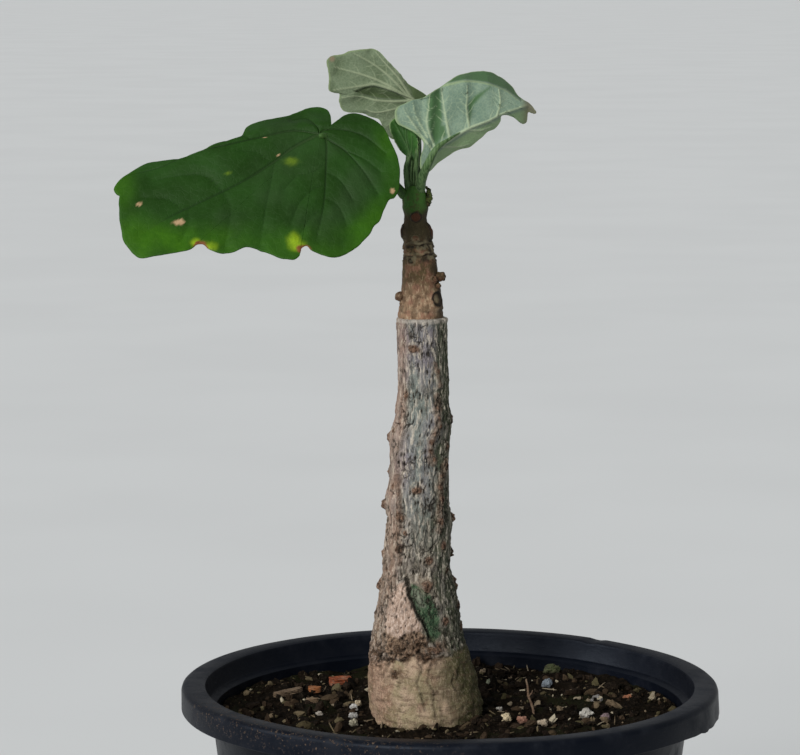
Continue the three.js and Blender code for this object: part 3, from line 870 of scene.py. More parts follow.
class UNCARINA_OT_soil(bpy.types.Operator):
    """Makes the mix that fills the pot, with a crumbly top"""

    bl_idname = "uncarina.soil"
    bl_label = "Potting mix"

    def execute(self, context):
        bottom = 2.0
        foot_radius = 50.2
        profile = [(0, SOIL_TOP), (SOIL_RADIUS - 0.1, SOIL_TOP), (SOIL_RADIUS - 0.3, SOIL_TOP - 2),
                   (foot_radius, bottom + 2), (foot_radius - 2, bottom), (0, bottom)]
        obj, u, v = unit_sheet("potting_mix_top", *MIX_STEPS)
        top = 0.82
        walked = np.array([0, 65, 67, 180, 182, 232])
        line = np.array(profile)
        along = np.where(v < top, v / top * 65, 65 + (v - top) / (1 - top) * (232 - 65))
        radius = np.interp(along, walked, line[:, 0])
        height = np.interp(along, walked, line[:, 1])
        angle = 2 * math.pi * u
        x, y = radius * np.cos(angle), radius * np.sin(angle)
        surface = soil_height(x, y)
        on_top = v <= top
        height = np.where(on_top, surface, np.minimum(height, surface))
        put(obj, np.stack([x, y, height], axis=1))
        weld(obj, 0.002)
        smooth(obj, 60)
        dress(obj, soil_finish())
        place_piece(obj, ["potting_mix"])
        self.scatter_crumbs(context.scene.uncarina_soil)
        return {"FINISHED"}

    def scatter_crumbs(self, group):
        """Crumbs of peat, bark and grit: a few lumpy shapes, copied at many sizes."""
        rng = random.Random(group.seed)
        shapes = []
        for kind in range(6):
            model = new_primitive("crumb", bpy.ops.mesh.primitive_ico_sphere_add, subdivisions=2, radius=MM)
            spots = places(model)
            spots *= (1 + 0.55 * fractal(spots * 1.5 + 9 * kind, 3, seed=20 + kind))[:, None]
            faces = np.array([face.vertices[:] for face in model.data.polygons])
            shapes.append((spots, faces))
            bpy.data.objects.remove(model)
        corners, faces, tones = [], [], []
        offset = 0
        while len(tones) < group.crumbs:
            reach = (SOIL_RADIUS - 1.2) * math.sqrt(rng.random())
            turn = rng.uniform(0, 2 * math.pi)
            x, y = reach * math.cos(turn), reach * math.sin(turn)
            if math.hypot(x - STEM_X, y) < 15.5:
                continue
            size = 0.34 + 1.3 * rng.random() ** 3.6
            tone = rng.random() ** 2.1
            spots, triangles = shapes[rng.randrange(6)]
            spin = np.array(random_turn(rng))
            if rng.random() < 0.05:
                size, tone = 0.75, 0.8 + 0.16 * rng.random()
                stretch = np.array([rng.uniform(1.6, 3.4), 0.22, 0.2])
            else:
                stretch = np.array([rng.uniform(0.7, 1.7), rng.uniform(0.5, 1.1), rng.uniform(0.4, 0.9)])
            moved = (spots * stretch * size) @ spin
            ground = soil_height(np.array([x]), np.array([y]))[0]
            corners.append(moved + np.array([x, y, ground + 0.25 * size]))
            faces.append(triangles + offset)
            offset += len(spots)
            tones.append(np.full(len(spots), tone))
        mesh = bpy.data.meshes.new("soil_crumbs")
        mesh.from_pydata((np.concatenate(corners) * MM).tolist(), [], np.concatenate(faces).tolist())
        obj = bpy.data.objects.new("soil_crumbs", mesh)
        bpy.context.scene.collection.objects.link(obj)
        attribute(obj, "tone", np.concatenate(tones))
        smooth(obj, 30)
        dress(obj, crumb_finish())
        place_piece(obj)


def random_turn(rng):
    """A rotation matrix with a random axis and angle."""
    axis = Vector([rng.gauss(0, 1) for _ in range(3)]).normalized()
    return Matrix.Rotation(rng.uniform(0, 2 * math.pi), 3, axis)


# ------------------------------------------------------------------ loose pieces on the mix


STONES = {
    "pumice_cream": ((0.30, 0.24, 0.15), (0.07, 0.048, 0.030), (0.60, 0.50, 0.33)),
    "pumice_tan": ((0.30, 0.24, 0.17), (0.09, 0.065, 0.045), (0.46, 0.38, 0.28)),
    "pumice_white": ((0.33, 0.31, 0.27), (0.10, 0.085, 0.070), (0.58, 0.56, 0.51)),
    "pumice_small": ((0.26, 0.24, 0.21), (0.08, 0.070, 0.058), (0.46, 0.44, 0.40)),
    "pumice_green": ((0.21, 0.22, 0.15), (0.07, 0.075, 0.05), (0.33, 0.34, 0.25)),
    "pumice_left": ((0.28, 0.25, 0.21), (0.08, 0.065, 0.050), (0.48, 0.44, 0.38)),
    "pumice_grey": ((0.28, 0.27, 0.25), (0.09, 0.085, 0.08), (0.45, 0.44, 0.42)),
    "pumice_ash": ((0.25, 0.24, 0.22), (0.08, 0.075, 0.07), (0.42, 0.41, 0.39)),
    "pumice_olive": ((0.24, 0.22, 0.15), (0.08, 0.07, 0.05), (0.38, 0.35, 0.26)),
    "grit_red": ((0.20, 0.085, 0.055), (0.06, 0.025, 0.018), (0.32, 0.17, 0.12)),
    "grit_grey": ((0.14, 0.13, 0.12), (0.04, 0.038, 0.036), (0.26, 0.25, 0.24)),
    "grit_purple": ((0.11, 0.075, 0.08), (0.03, 0.02, 0.022), (0.22, 0.16, 0.165)),
    "grit_tan": ((0.21, 0.15, 0.09), (0.06, 0.04, 0.025), (0.32, 0.25, 0.17)),
    "grit_rust": ((0.19, 0.065, 0.030), (0.05, 0.02, 0.012), (0.30, 0.13, 0.07)),
    "grit_cream": ((0.40, 0.32, 0.21), (0.12, 0.09, 0.06), (0.58, 0.50, 0.36)),
    "stone_blue_grey": ((0.115, 0.135, 0.16), (0.04, 0.045, 0.055), (0.20, 0.23, 0.26)),
    "moss_clod": ((0.055, 0.055, 0.028), (0.018, 0.017, 0.010), (0.10, 0.10, 0.05)),
}


class UNCARINA_OT_stones(bpy.types.Operator):
    """Shapes each loose stone and clod that lies on the mix"""

    bl_idname = "uncarina.stones"
    bl_label = "Loose stones"

    def execute(self, context):
        for number, (name, (base, dark, light)) in enumerate(STONES.items()):
            low, high = (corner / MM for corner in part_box(name))
            middle = np.array((low + high) / 2)
            half = np.array((high - low) / 2)
            obj = new_primitive(f"{name}_stone", bpy.ops.mesh.primitive_ico_sphere_add, subdivisions=5,
                                radius=MM)
            spots = places(obj)
            facets = cells(spots * 1.1 + 5 * number, seed=30 + number)[0]
            lumps = 1.28 - 0.62 * facets + 0.24 * fractal(spots * 2.2 + number, 4, seed=number)
            pores = ease(cells(spots * 4.5 + number, seed=60 + number)[0], 0.42, 0.2)
            spots *= (lumps - 0.10 * pores)[:, None]
            ground = soil_height(middle[:1], middle[1:2])[0]
            lift = max(0, ground - (middle[2] - half[2]) - 0.35) * 0.6
            put(obj, spots * half + middle + np.array([0, 0, lift]))
            smooth(obj)
            moss = 0.6 if name in ("moss_clod", "pumice_green") else 0
            dress(obj, stone_finish(name, base, dark, light, moss))
            place_piece(obj, [name])
        return {"FINISHED"}


BARK_CHIPS = {
    "bark_chip_red": (20, (0.34, 0.085, 0.028), (0.10, 0.028, 0.014)),
    "bark_chip_orange": (-15, (0.38, 0.14, 0.045), (0.12, 0.05, 0.02)),
    "bark_chip_long": (42, (0.24, 0.17, 0.105), (0.09, 0.06, 0.04)),
    "bark_chip_tan": (10, (0.23, 0.155, 0.09), (0.08, 0.055, 0.035)),
}


class UNCARINA_OT_bark_chips(bpy.types.Operator):
    """Splits each flake of bark from a block and frays its ends"""

    bl_idname = "uncarina.bark_chips"
    bl_label = "Bark chips"

    def execute(self, context):
        for number, (name, (turn, base, dark)) in enumerate(BARK_CHIPS.items()):
            low, high = (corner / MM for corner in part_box(name))
            middle = (low + high) / 2
            size = high - low
            length = math.hypot(size.x, size.y) if name == "bark_chip_long" else size.x
            obj = new_primitive(f"{name}_flake", bpy.ops.mesh.primitive_cube_add, size=MM)
            finish_with(obj, "SUBSURF", levels=5, render_levels=5, subdivision_type="SIMPLE")
            spots = places(obj)
            grain = fractal(spots * np.array([2.0, 9, 9]) + number, 4, seed=80 + number)
            taper = 1 - 0.55 * np.abs(spots[:, 0] * 2) ** 3
            spots[:, 1] *= taper * (1 + 0.25 * grain)
            spots[:, 2] *= 1 + 0.3 * grain
            spots[:, 0] *= 1 + 0.08 * fractal(spots * np.array([1, 12, 12]), 3, seed=90 + number)
            spots[:, 2] += 0.18 * spots[:, 0] ** 2 - 0.25 * spots[:, 1] ** 2
            spots = spots * np.array([length, size.y if length == size.x else 2.6, size.z])
            angle = math.radians(turn)
            spots = spots @ np.array([[math.cos(angle), math.sin(angle), 0],
                                      [-math.sin(angle), math.cos(angle), 0], [0, 0, 1]])
            ground = soil_height(np.array([middle.x]), np.array([middle.y]))[0]
            put(obj, spots + np.array([middle.x, middle.y, max(middle.z, ground + size.z * 0.4)]))
            smooth(obj, 40)
            dress(obj, dry_bark_finish(name, base, dark))
            place_piece(obj, [name])
        return {"FINISHED"}


class UNCARINA_OT_twig(bpy.types.Operator):
    """Draws the dry twig that stands in the mix"""

    bl_idname = "uncarina.twig"
    bl_label = "Dry twig"

    def execute(self, context):
        low, high = (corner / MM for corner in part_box("twig"))
        foot = (high.x - 0.5, -1.6, SOIL_TOP - 1.5)
        path = [foot, (foot[0] - 0.6, -1.6, 118), (foot[0] - 1.7, -1.7, 121), (foot[0] - 1.9, -1.3, 123.4),
                (low.x + 0.3, -1.2, high.z)]
        main_stem = rod("twig_stem", path, (0.42, 0.36, 0.3, 0.34, 0.2), 10, 60, bumps=0.35, seed=4)
        spur = rod("twig_spur", [path[2], (path[2][0] + 0.9, -1.9, 122.2), (path[2][0] + 1.1, -2.1, 123)],
                   (0.26, 0.2, 0.1), 8, 16, bumps=0.3, seed=5)
        obj = join("twig_dry", [main_stem, spur])
        dress(obj, dry_bark_finish("twig_bark", (0.24, 0.16, 0.10), (0.10, 0.06, 0.04)))
        place_piece(obj, ["twig"])
        return {"FINISHED"}


# ------------------------------------------------------------------ stems


def stem_sheet(name, stations, columns, rows):
    """An open tube through the stations, its seam at the back. Returns what a sculpting step needs."""
    obj, u, v = unit_sheet(name, columns, rows)
    angle = 0.5 * math.pi + 2 * math.pi * u
    low, high = stations[0][0], stations[-1][0]
    height = low + (high - low) * v
    offset, radius = stations_at(stations, height)
    return obj, angle, height, offset, radius


def front_angle(degrees):
    """Angle about +Z of a place so many degrees to the right of the front."""
    return FRONT + math.radians(degrees)


def bump_at(angle, height, radius, spot, wide, tall):
    """Distance from a spot on a stem, counted in its half width and half height."""
    degrees, level = spot
    turned = np.angle(np.exp(1j * (angle - front_angle(degrees))))
    return np.hypot(turned * radius / wide, (height - level) / tall)


# Warts: degrees to the right of the front, height, half width, half height, how far it stands.
WARTS = (
    (-20, 219.5, 1.6, 1.2, 0.75), (36, 213.3, 0.7, 0.8, 0.45), (-42, 206.7, 0.7, 1.6, 0.35),
    (30, 203.0, 0.8, 0.9, 0.55), (30, 200.2, 0.9, 1.0, 0.6), (34, 198.0, 0.7, 0.8, 0.5),
    (23, 196.1, 0.8, 0.9, 0.55),
    (22, 193.9, 0.9, 1.2, 0.6), (21, 191.4, 0.8, 1.0, 0.55), (29, 189.0, 0.7, 0.8, 0.45),
    (59, 186.6, 0.9, 1.2, 0.6),
    (46, 184.3, 0.8, 1.0, 0.5), (43, 181.2, 0.9, 1.1, 0.6), (48, 177.8, 0.9, 1.2, 0.6),
    (40, 171.7, 1.1, 1.2, 0.6),
    (-4, 180.6, 1.4, 1.3, 0.6), (-37, 172.9, 1.4, 1.4, 0.85), (-35, 163.9, 1.6, 1.5, 0.9),
    (-26, 168.4, 0.8, 0.9, 0.35), (49, 164.7, 1.2, 1.2, 0.65), (21, 160.9, 1.2, 1.2, 0.55),
    (16, 153.8, 1.7, 1.6, 1.1),
    (41, 144.0, 1.2, 1.2, 0.6), (22, 136.6, 1.7, 1.3, 0.9), (6, 134.6, 1.7, 1.5, 0.95),
    (8, 132.0, 1.3, 1.1, 0.7),
    (40, 129.8, 0.7, 0.9, 0.35), (12, 125.2, 1.1, 0.9, 0.5), (-70, 196.5, 0.7, 0.7, 0.35),
    (-90, 194.3, 1.1, 1.5, 0.75), (-88, 175.3, 1.4, 1.7, 1.25), (-90, 161.2, 1.1, 1.6, 0.8),
    (-90, 152.6, 1.3, 1.8, 1.0), (90, 199.3, 0.8, 1.5, 0.75), (90, 171.8, 1.3, 1.5, 1.15),
    (88, 161.6, 1.4, 1.8, 1.2),
    (90, 153.2, 1.2, 1.9, 0.8), (86, 147, 1.0, 1.3, 0.5), (-86, 145, 0.9, 1.3, 0.45),
    (84, 141, 0.9, 1.2, 0.5),
    (-62, 158, 0.9, 1.2, 0.5), (-58, 181, 0.7, 1.1, 0.4), (64, 192, 0.8, 1.1, 0.45),
    (60, 157.5, 0.9, 1.1, 0.5),
)
BACK_WARTS = 34

# Raised rows of warts on the rootstock's front: (x, z) points and half width.
RIDGES = (
    (((-3.6, 206.5), (-3.8, 202.0), (-3.5, 198.0), (-4.8, 195.0), (-5.4, 191.5), (-4.7, 188.0)), 1.25),
    (((-1.4, 188.0), (-2.4, 184.5), (-3.0, 181.0), (-2.4, 177.5), (-3.2, 172.0), (-3.4, 169.0)), 1.15),
    (((-4.4, 215.5), (-3.5, 213.3), (-3.0, 209.0)), 0.7),
    (((-14.6, 184.0), (-14.2, 176.0), (-14.4, 170.0), (-14.0, 160.0)), 0.9),
)

# Outlines on the rootstock's front, in (x, z).
PALE_PLATE = ((-15.6, 154.4), (-12.7, 155.0), (-11.9, 151.6), (-10.0, 147.9), (-8.5, 144.2), (-8.0, 142.3),
              (-10.2, 141.6), (-12.3, 141.3), (-14.2, 139.8), (-17.0, 140.8), (-17.9, 142.9), (-17.2, 146.2),
              (-16.3, 150))
STEP_LINE = ((-12.4, 156.5), (-11.6, 151.6), (-9.8, 147.2), (-7.9, 144.2), (-6.6, 141.6), (-6.0, 139.4))
GREEN_PATCH = ((-11.0, 154.6), (-6.6, 152.6), (-3.0, 147.6), (-2.9, 140.2), (-4.4, 137.9), (-6.2, 138.8),
               (-7.2, 142.8), (-9.2, 146.6), (-11.2, 150.9))
PALE_GREEN = ((-10.6, 152.8), (-7.4, 152.2), (-6.6, 148.6), (-8.6, 147.9), (-10.2, 150.3))
ROUGH_PATCH = ((-17.2, 141.6), (-14.2, 141.2), (-9.3, 142.6), (-7.0, 140.5), (-6.6, 136.4), (-8.5, 134.4),
               (-14.2, 133.9), (-17.1, 134.6), (-18.0, 137.4))
FOOT_EDGE = ((-40, 132.4), (-22.4, 132.0), (-17.2, 132.6), (-13.4, 133.0), (-9.3, 134.6), (-7.0, 133.6),
             (-4.0, 133.4), (-0.2, 134.8), (3.8, 136.6), (6.1, 134.5), (40, 133.5))
SEAMS = (
    ((-8.6, 134.2), (-8.9, 133.1), (-7.8, 131.3), (-9.3, 127.9), (-7.8, 123.8), (-7.0, 119.9)),
    ((-5.9, 130.9), (-6.3, 127.9), (-4.4, 125.2), (-4.7, 121.8), (-4.0, 117.9)),
    ((0.4, 131.4), (1.0, 129.9), (0.4, 127.4), (1.7, 125.0)),
)


class UNCARINA_OT_rootstock(bpy.types.Operator):
    """Sculpts the rootstock: fissured bark above, a peeled patch, and a smooth swollen foot"""

    bl_idname = "uncarina.rootstock"
    bl_label = "Rootstock"

    def execute(self, context):
        obj, angle, height, offset, radius = stem_sheet("rootstock_bark_stem", ROOTSTOCK, *ROOTSTOCK_STEPS)
        masks, relief = self.sculpt(angle, height, offset, radius)
        reach = radius + relief
        x = offset + reach * np.cos(angle)
        y = reach * np.sin(angle)
        put(obj, np.stack([x, y, height], axis=1))
        for name, values in masks.items():
            attribute(obj, name, values)
        weld(obj, 0.003)
        fill_ends(obj)
        smooth(obj, 70)
        dress(obj, rootstock_finish())
        place_piece(obj, ["rootstock_stem"])
        return {"FINISHED"}

    def sculpt(self, angle, height, offset, radius):
        """Relief in millimetres over the plain stem, and the masks that the finish reads."""
        ring = np.stack([radius * np.cos(angle), radius * np.sin(angle), height], axis=1)
        x = offset + ring[:, 0]
        front = ease(np.cos(angle - FRONT), -0.05, 0.15)
        wobble = 0.5 * fractal(ring / 2.2, 3, seed=40)
        across, level = x + wobble, height + 0.8 * fractal(ring / 2.6 + 31, 3, seed=41)

        edge = np.interp(np.where(front > 0.5, x, 5 * np.cos(3 * angle)), *np.array(FOOT_EDGE).T)
        edge = edge + 1.9 * fractal(ring / 3.4, 4, seed=39, gain=0.6)
        foot = ease(level, edge + 1.3, edge - 0.7)
        bark = 1 - foot

        tall = ring / np.array([2.0, 2.0, 9.0])
        fissure = fractal(tall, 4, seed=42)
        ridges = np.abs(fissure)
        groove = ease(ridges, 0.16, 0.02) * bark
        wander = 0.25 * fractal(ring / 1.3, 2, seed=43)[:, None]
        _, between, number = cells(ring / np.array([1.9, 1.9, 4.6]) + wander, seed=44)
        crack = ease(between, 0.11, 0.02) * ease(fractal(ring / 4, 3, seed=45), -0.25, 0.35) * bark
        near, _, pick_number = cells(ring / np.array([0.85, 0.85, 2.4]), seed=46)
        pit = ease(near, 0.40, 0.22) * (pick_number > 0.66) * bark
        grain = fractal(ring / np.array([0.6, 0.6, 1.6]), 3, seed=47)

        relief = 0.30 * fractal(ring / 8, 3, seed=48) + bark * (0.24 * fissure - 0.34 * groove + 0.15 * grain)
        relief += bark * ease(height, 172, 150) * 0.30 * fractal(ring / np.array([2.0, 2.0, 3.0]), 4,
                                                                 seed=62, gain=0.6)
        relief += bark * 0.16 * (number - 0.5) - 0.30 * crack - 0.32 * pit

        plate = front * patch(across, level, PALE_PLATE, 0.5)
        green = front * patch(across, level, GREEN_PATCH, 0.5)
        pale_green = front * patch(across, level, PALE_GREEN, 0.6)
        rough = front * patch(across, level, ROUGH_PATCH, 0.6)
        back_green = (1 - front) * ease(fractal(ring / 9, 2, seed=49), 0.45, 0.6) * bark * ease(height, 175, 160)
        green = np.maximum(green * (1 - plate), back_green * 0.7)
        step, _ = line_distance(x + 0.3 * wobble, height, STEP_LINE)
        on_left = x < np.interp(height, *np.array(STEP_LINE[::-1])[:, ::-1].T)
        ledge = front * ease(step, 5.5, 0.2) * ease(height, 137, 141) * ease(height, 158, 155)
        relief += np.where(on_left, 0.45, -0.75) * ledge
        shade = front * ease(np.where(on_left, step * 3, step), 1.0, 0.25)
        shade = shade * ease(height, 138.5, 140) * ease(height, 157, 155)
        relief += plate * (0.25 - 0.6 * relief + 0.10 * fractal(ring / 3, 3, seed=50))
        relief -= green * 0.15

        pocks, _, which = cells(ring / 1.35 + 0.3 * fractal(ring, 2, seed=63)[:, None], seed=51)
        pocked = np.maximum(rough, ease(x, -13.8, -16.6) * front * ease(height, 130, 134) * ease(height, 163, 154))
        hole = ease(pocks, 0.5, 0.25) * (which > 0.38) * pocked
        hole = np.maximum(hole, ease(pocks, 0.22, 0.1) * (which > 0.78) * plate)
        relief += rough * 0.55 * fractal(ring / 1.6, 4, seed=52, gain=0.6) - 0.6 * hole

        seam = np.zeros(len(x))
        for path in SEAMS:
            away, _ = line_distance(x + 0.35 * wobble, height, path)
            seam = np.maximum(seam, ease(away, 0.55, 0.1) * front)
        folds = fractal(ring / np.array([1.7, 1.7, 30]), 2, seed=53) * ease(height, 126, 119) * ease(x, -12, -7)
        rings_round = fractal(np.stack([ring[:, 0] / 9, ring[:, 1] / 9, height / 1.1], axis=1), 3, seed=54)
        low = ease(height, 125, 118)
        lumpy = 0.42 * fractal(ring / 4.5, 3, seed=66) + 0.24 * fractal(ring / 1.7, 4, seed=55)
        relief += foot * (0.30 * folds + (0.07 + 0.16 * low) * rings_round + lumpy) - 0.28 * seam * foot
        relief += 0.22 * foot * ease(np.abs(seam - 0.35), 0.3, 0.1) * (seam > 0)
        relief -= 0.2 * foot * ease(edge - level, 1.4, 0)
        relief += bark * ease(level - edge, 2.2, 0.2) * 0.3
        crust = ease(np.abs(level - edge - 1.6), 6.0, 1.5) * front * ease(x, -24, -21) * ease(x, 1, -4)
        drip, _ = line_distance(x + 0.4 * wobble, height, ((-16.4, 134.5), (-15.2, 131.5), (-15.4, 128.8),
                                                           (-14.6, 127.2)))
        crust = np.maximum(crust, ease(drip, 1.1, 0.3) * front)
        stain = crust * ease(fractal(ring / 1.5, 4, seed=67), -0.25, 0.25)
        relief += crust * 1.1 * (np.abs(fractal(ring / 1.6, 4, seed=68)) - 0.2)

        wart = np.zeros(len(x))
        halo = np.zeros(len(x))
        for path, wide in RIDGES:
            away, _ = line_distance(x + 0.5 * wobble, height, path)
            away = away / wide + 0.3 * fractal(ring / 1.2, 3, seed=69)
            relief += front * 0.42 * ease(away, 1.1, 0.2)
            wart = np.maximum(wart, front * ease(away, 1.1, 0.5) * 0.62)
        rng = random.Random(61)
        spots = list(WARTS)
        for _ in range(BACK_WARTS):
            size = rng.uniform(0.6, 1.5)
            spots.append((rng.uniform(100, 260), rng.uniform(130, 222), size, size * rng.uniform(0.9, 1.3),
                          size * 0.5))
        for degrees, level_at, wide, tall_by, stands in spots:
            away = bump_at(angle, height, radius, (degrees, level_at), wide, tall_by)
            away = away + 0.34 * fractal(ring / 1.3 + level_at, 3, seed=56)
            dome = ease(away, 1.3, 0.25)
            crater = ease(away, 0.42, 0.1)
            relief += stands * (dome - 0.4 * crater) * (1 + 0.45 * fractal(ring / 0.9, 3, seed=57) * dome)
            relief += 0.16 * ease(np.abs(away - 1.45), 0.4, 0.1)
            halo = np.maximum(halo, ease(np.abs(away - 1.4), 0.35, 0.1))
            wart = np.maximum(wart, ease(away, 1.25, 0.6))

        collar = ease(height, GRAFT_HEIGHT - 1.6, GRAFT_HEIGHT - 0.9)
        relief += collar * 0.10 * (1 + fractal(ring / 1.5, 2, seed=64))
        relief -= 0.5 * ease(height, GRAFT_HEIGHT - 0.35, GRAFT_HEIGHT) ** 2
        # Painted shade for the pit mask: the step's shadowed edge, and the cracks, pits, holes, grooves and the
        # foot's seams.
        dark = np.maximum.reduce([crack * 0.9, pit * 0.95, hole, shade * 0.95, seam * foot * 0.45,
                                  groove * 0.35])
        # Masks by the angle from the front: painted light on the left side, painted shade on the right side.
        lit = np.degrees(np.angle(np.exp(1j * (angle - FRONT))))
        masks = {
            "left": ease(lit, -22, -56) * ease(lit, -170, -120) * (0.7 + 0.3 * fractal(ring / 5, 3, seed=58)),
            "right": ease(lit + 12 * fractal(ring / 5, 3, seed=59), 10, 46) * ease(lit, 175, 130),
            "plates": np.clip(number - 0.55, 0, 1) * 2.2 * bark,
            "foot": foot, "rough": rough, "plate": plate, "green": green, "pale_green": pale_green,
            "wart": wart * (1 - 0.5 * foot), "halo": halo * bark, "stain": stain,
            "low_brown": ease(height, 188, 148) * (0.7 + 0.4 * fractal(ring / 6, 3, seed=65)) * bark,
            "pit": np.clip(dark, 0, 1), "collar": collar * 0.75,
        }
        return masks, relief


# Leaf scars on the scion: degrees to the right of the front, height, half width, half height.
SCARS = ((0, 255.5, 1.35, 1.3), (-82, 251.4, 1.2, 1.8), (80, 251.5, 1.2, 1.8), (-6, 249.6, 0.9, 0.8),
         (150, 243, 1.2, 1.2), (-150, 237, 1.2, 1.3), (175, 252, 1.2, 1.2), (45, 238.6, 0.8, 0.8))


class UNCARINA_OT_scion(bpy.types.Operator):
    """Sculpts the grafted stem with its ring scars, knobs and green end"""

    bl_idname = "uncarina.scion"
    bl_label = "Scion"

    def execute(self, context):
        obj, angle, height, offset, radius = stem_sheet("scion_bark_stem", SCION, *SCION_STEPS)
        ring = np.stack([radius * np.cos(angle), radius * np.sin(angle), height], axis=1)
        relief = 0.26 * fractal(ring / 3.4, 4, seed=70) + 0.13 * fractal(ring / np.array([0.9, 0.9, 3]), 4,
                                                                         seed=71)
        relief *= ease(height, SCION_TOP, 260) * 0.7 + 0.3
        dark = np.zeros(len(height))
        scar = np.zeros(len(height))
        rim = np.zeros(len(height))
        for degrees, level, wide, tall in SCARS:
            away = bump_at(angle, height, radius, (degrees, level), wide, tall)
            away = away + 0.18 * fractal(ring / 1.2, 3, seed=80)
            relief += 0.55 * (ease(away, 1.45, 0.85) - 0.7 * ease(away, 0.8, 0.35))
            scar = np.maximum(scar, ease(away, 1.0, 0.8))
            rim = np.maximum(rim, ease(np.abs(away - 1.12), 0.2, 0.05) * (level < 250) * 0.5)
            dark = np.maximum(dark, ease(np.abs(away - 0.95), 0.3, 0.05) * (level > 250) * 0.8)
        rugged = ease(height, 242.5, 244) * ease(height, 250.5, 249)
        relief += rugged * 0.40 * fractal(ring / 1.5, 4, seed=76, gain=0.6)
        dark = np.maximum(dark, rugged * ease(fractal(ring / 1.1, 3, seed=77), 0.0, 0.5) * 0.7)
        rim = np.maximum(rim, rugged * ease(fractal(ring / 1.3 + 7, 3, seed=77), 0.0, 0.5) * 0.8)
        for level, depth, bow in ((244.0, 0.24, 0.9), (246.4, 0.34, 1.5), (229.3, 0.12, 0.3)):
            line = height - level - bow * np.cos(angle - FRONT - 0.25) - 0.55 * fractal(ring / 2.2, 3, seed=72)
            broken = 0.45 + 0.55 * ease(fractal(ring / 2.4 + level, 2, seed=75), -0.35, 0.25)
            relief -= depth * broken * ease(np.abs(line), 0.55, 0.1)
            relief += depth * broken * ease(np.abs(line - 0.75), 0.6, 0.1)
            dark = np.maximum(dark, broken * ease(np.abs(line), 0.5, 0.1) * (0.9 if level > 240 else 0.5))
            rim = np.maximum(rim, broken * ease(np.abs(line - 0.8), 0.45, 0.15) * (0.8 if level > 240 else 0.3))
        band = ease(np.abs(height - 247.4 - 0.5 * np.cos(angle - FRONT)), 1.5, 0.6) * ease(
            np.abs(np.degrees(np.angle(np.exp(1j * (angle - front_angle(10)))))), 62, 30)
        dark = np.maximum(dark, band * ease(fractal(ring / 0.8, 3, seed=73), -0.3, 0.4))
        oval = bump_at(angle, height, radius, (46, 233.1), 1.75, 2.25) + 0.14 * fractal(ring / 1.2, 3, seed=81)
        relief += 0.75 * ease(oval, 1.5, 0.95) - 0.8 * ease(oval, 0.95, 0.5)
        dark = np.maximum(dark, ease(np.abs(oval - 0.78), 0.34, 0.1) * 0.95)
        rim = np.maximum(rim, ease(oval, 0.6, 0.3) * 0.8)
        eye = bump_at(angle, height, radius, (-32, 243.4), 0.95, 0.85) + 0.2 * fractal(ring / 0.9, 3, seed=82)
        relief += 0.3 * ease(eye, 1.5, 0.9) - 0.5 * ease(eye, 0.9, 0.5)
        dark = np.maximum(dark, ease(eye, 1.0, 0.7))
        rim = np.maximum(rim, ease(np.abs(eye - 1.3), 0.3, 0.1) * 0.7)
        reach = radius + relief
        put(obj, np.stack([offset + reach * np.cos(angle), reach * np.sin(angle), height], axis=1))
        lit = np.degrees(np.angle(np.exp(1j * (angle - FRONT))))
        # The right mask is painted shade on the side away from the lamps.
        masks = {"scar": scar, "dark": np.clip(dark, 0, 1), "rim": np.clip(rim, 0, 1),
                 "right": ease(lit, 15, 70) * ease(lit, 175, 130) * ease(height, 262, 255)}
        for name, values in masks.items():
            attribute(obj, name, values)
        weld(obj, 0.003)
        fill_ends(obj)
        smooth(obj, 70)
        obj = join("scion_bark_stem", [obj] + self.knobs())
        dress(obj, scion_finish())
        place_piece(obj, ["scion_stem"])
        return {"FINISHED"}

    def knobs(self):
        """Stubs of dropped leaves: two woody knobs and the ragged dry stub beside the tip."""
        made = []
        for number, (x, y, z, size) in enumerate(((-13.9, -1.2, 233.4, 1.4), (-13.2, -1.6, 231.6, 0.9),
                                                  (-2.7, -1.2, 238.9, 1.45), (-4.5, -3.2, 238.3, 1.0),
                                                  (-3.4, -2.4, 236.6, 0.8))):
            knob = new_primitive(f"knob_{number}", bpy.ops.mesh.primitive_ico_sphere_add, subdivisions=4,
                                 radius=MM)
            spots = places(knob)
            away = cells(spots * 1.4 + 3 * number, seed=74 + number)[0]
            spots *= (1.1 - 0.25 * away + 0.18 * fractal(spots * 2.5 + number, 3, seed=78))[:, None]
            attribute(knob, "scar", ease(spots[:, 2], 0.4, -0.4) * 0.55)
            # Painted shade: each knob is darker in the dents between its lumps and on its right side, and the
            # right attribute gives it part of the stem's painted shade.
            attribute(knob, "dark", np.maximum(ease(away, 0.7, 1.0) * 0.7, ease(spots[:, 0], 0.3, 0.9) * 0.5))
            attribute(knob, "right", np.full(len(spots), 0.35))
            put(knob, spots * size + np.array([x, y, z]))
            smooth(knob)
            made.append(knob)
        paths = (
            ((-7.4, -0.4, 258), (-6.2, -0.5, 259.6), (-5.9, -0.4, 261.4), (-6.4, -0.3, 263.2)),
            ((-6.4, -0.8, 259.4), (-5.6, -0.9, 260.8), (-5.5, -0.8, 262.2)),
            ((-6.6, 0.2, 260.4), (-6.0, 0.2, 262.2), (-6.9, 0.2, 263.8)),
        )
        for number, path in enumerate(paths):
            stub = rod(f"stub_{number}", path, (0.9, 0.75, 0.55, 0.35), 12, 26, bumps=0.55, seed=79 + number)
            attribute(stub, "scar", np.full(len(stub.data.vertices), 0.45))
            attribute(stub, "dark", ease(value_noise(places(stub) * 2.2, seed=3), 0.5, 0.7) * 0.8)
            made.append(stub)
        return made


# ------------------------------------------------------------------ leaves


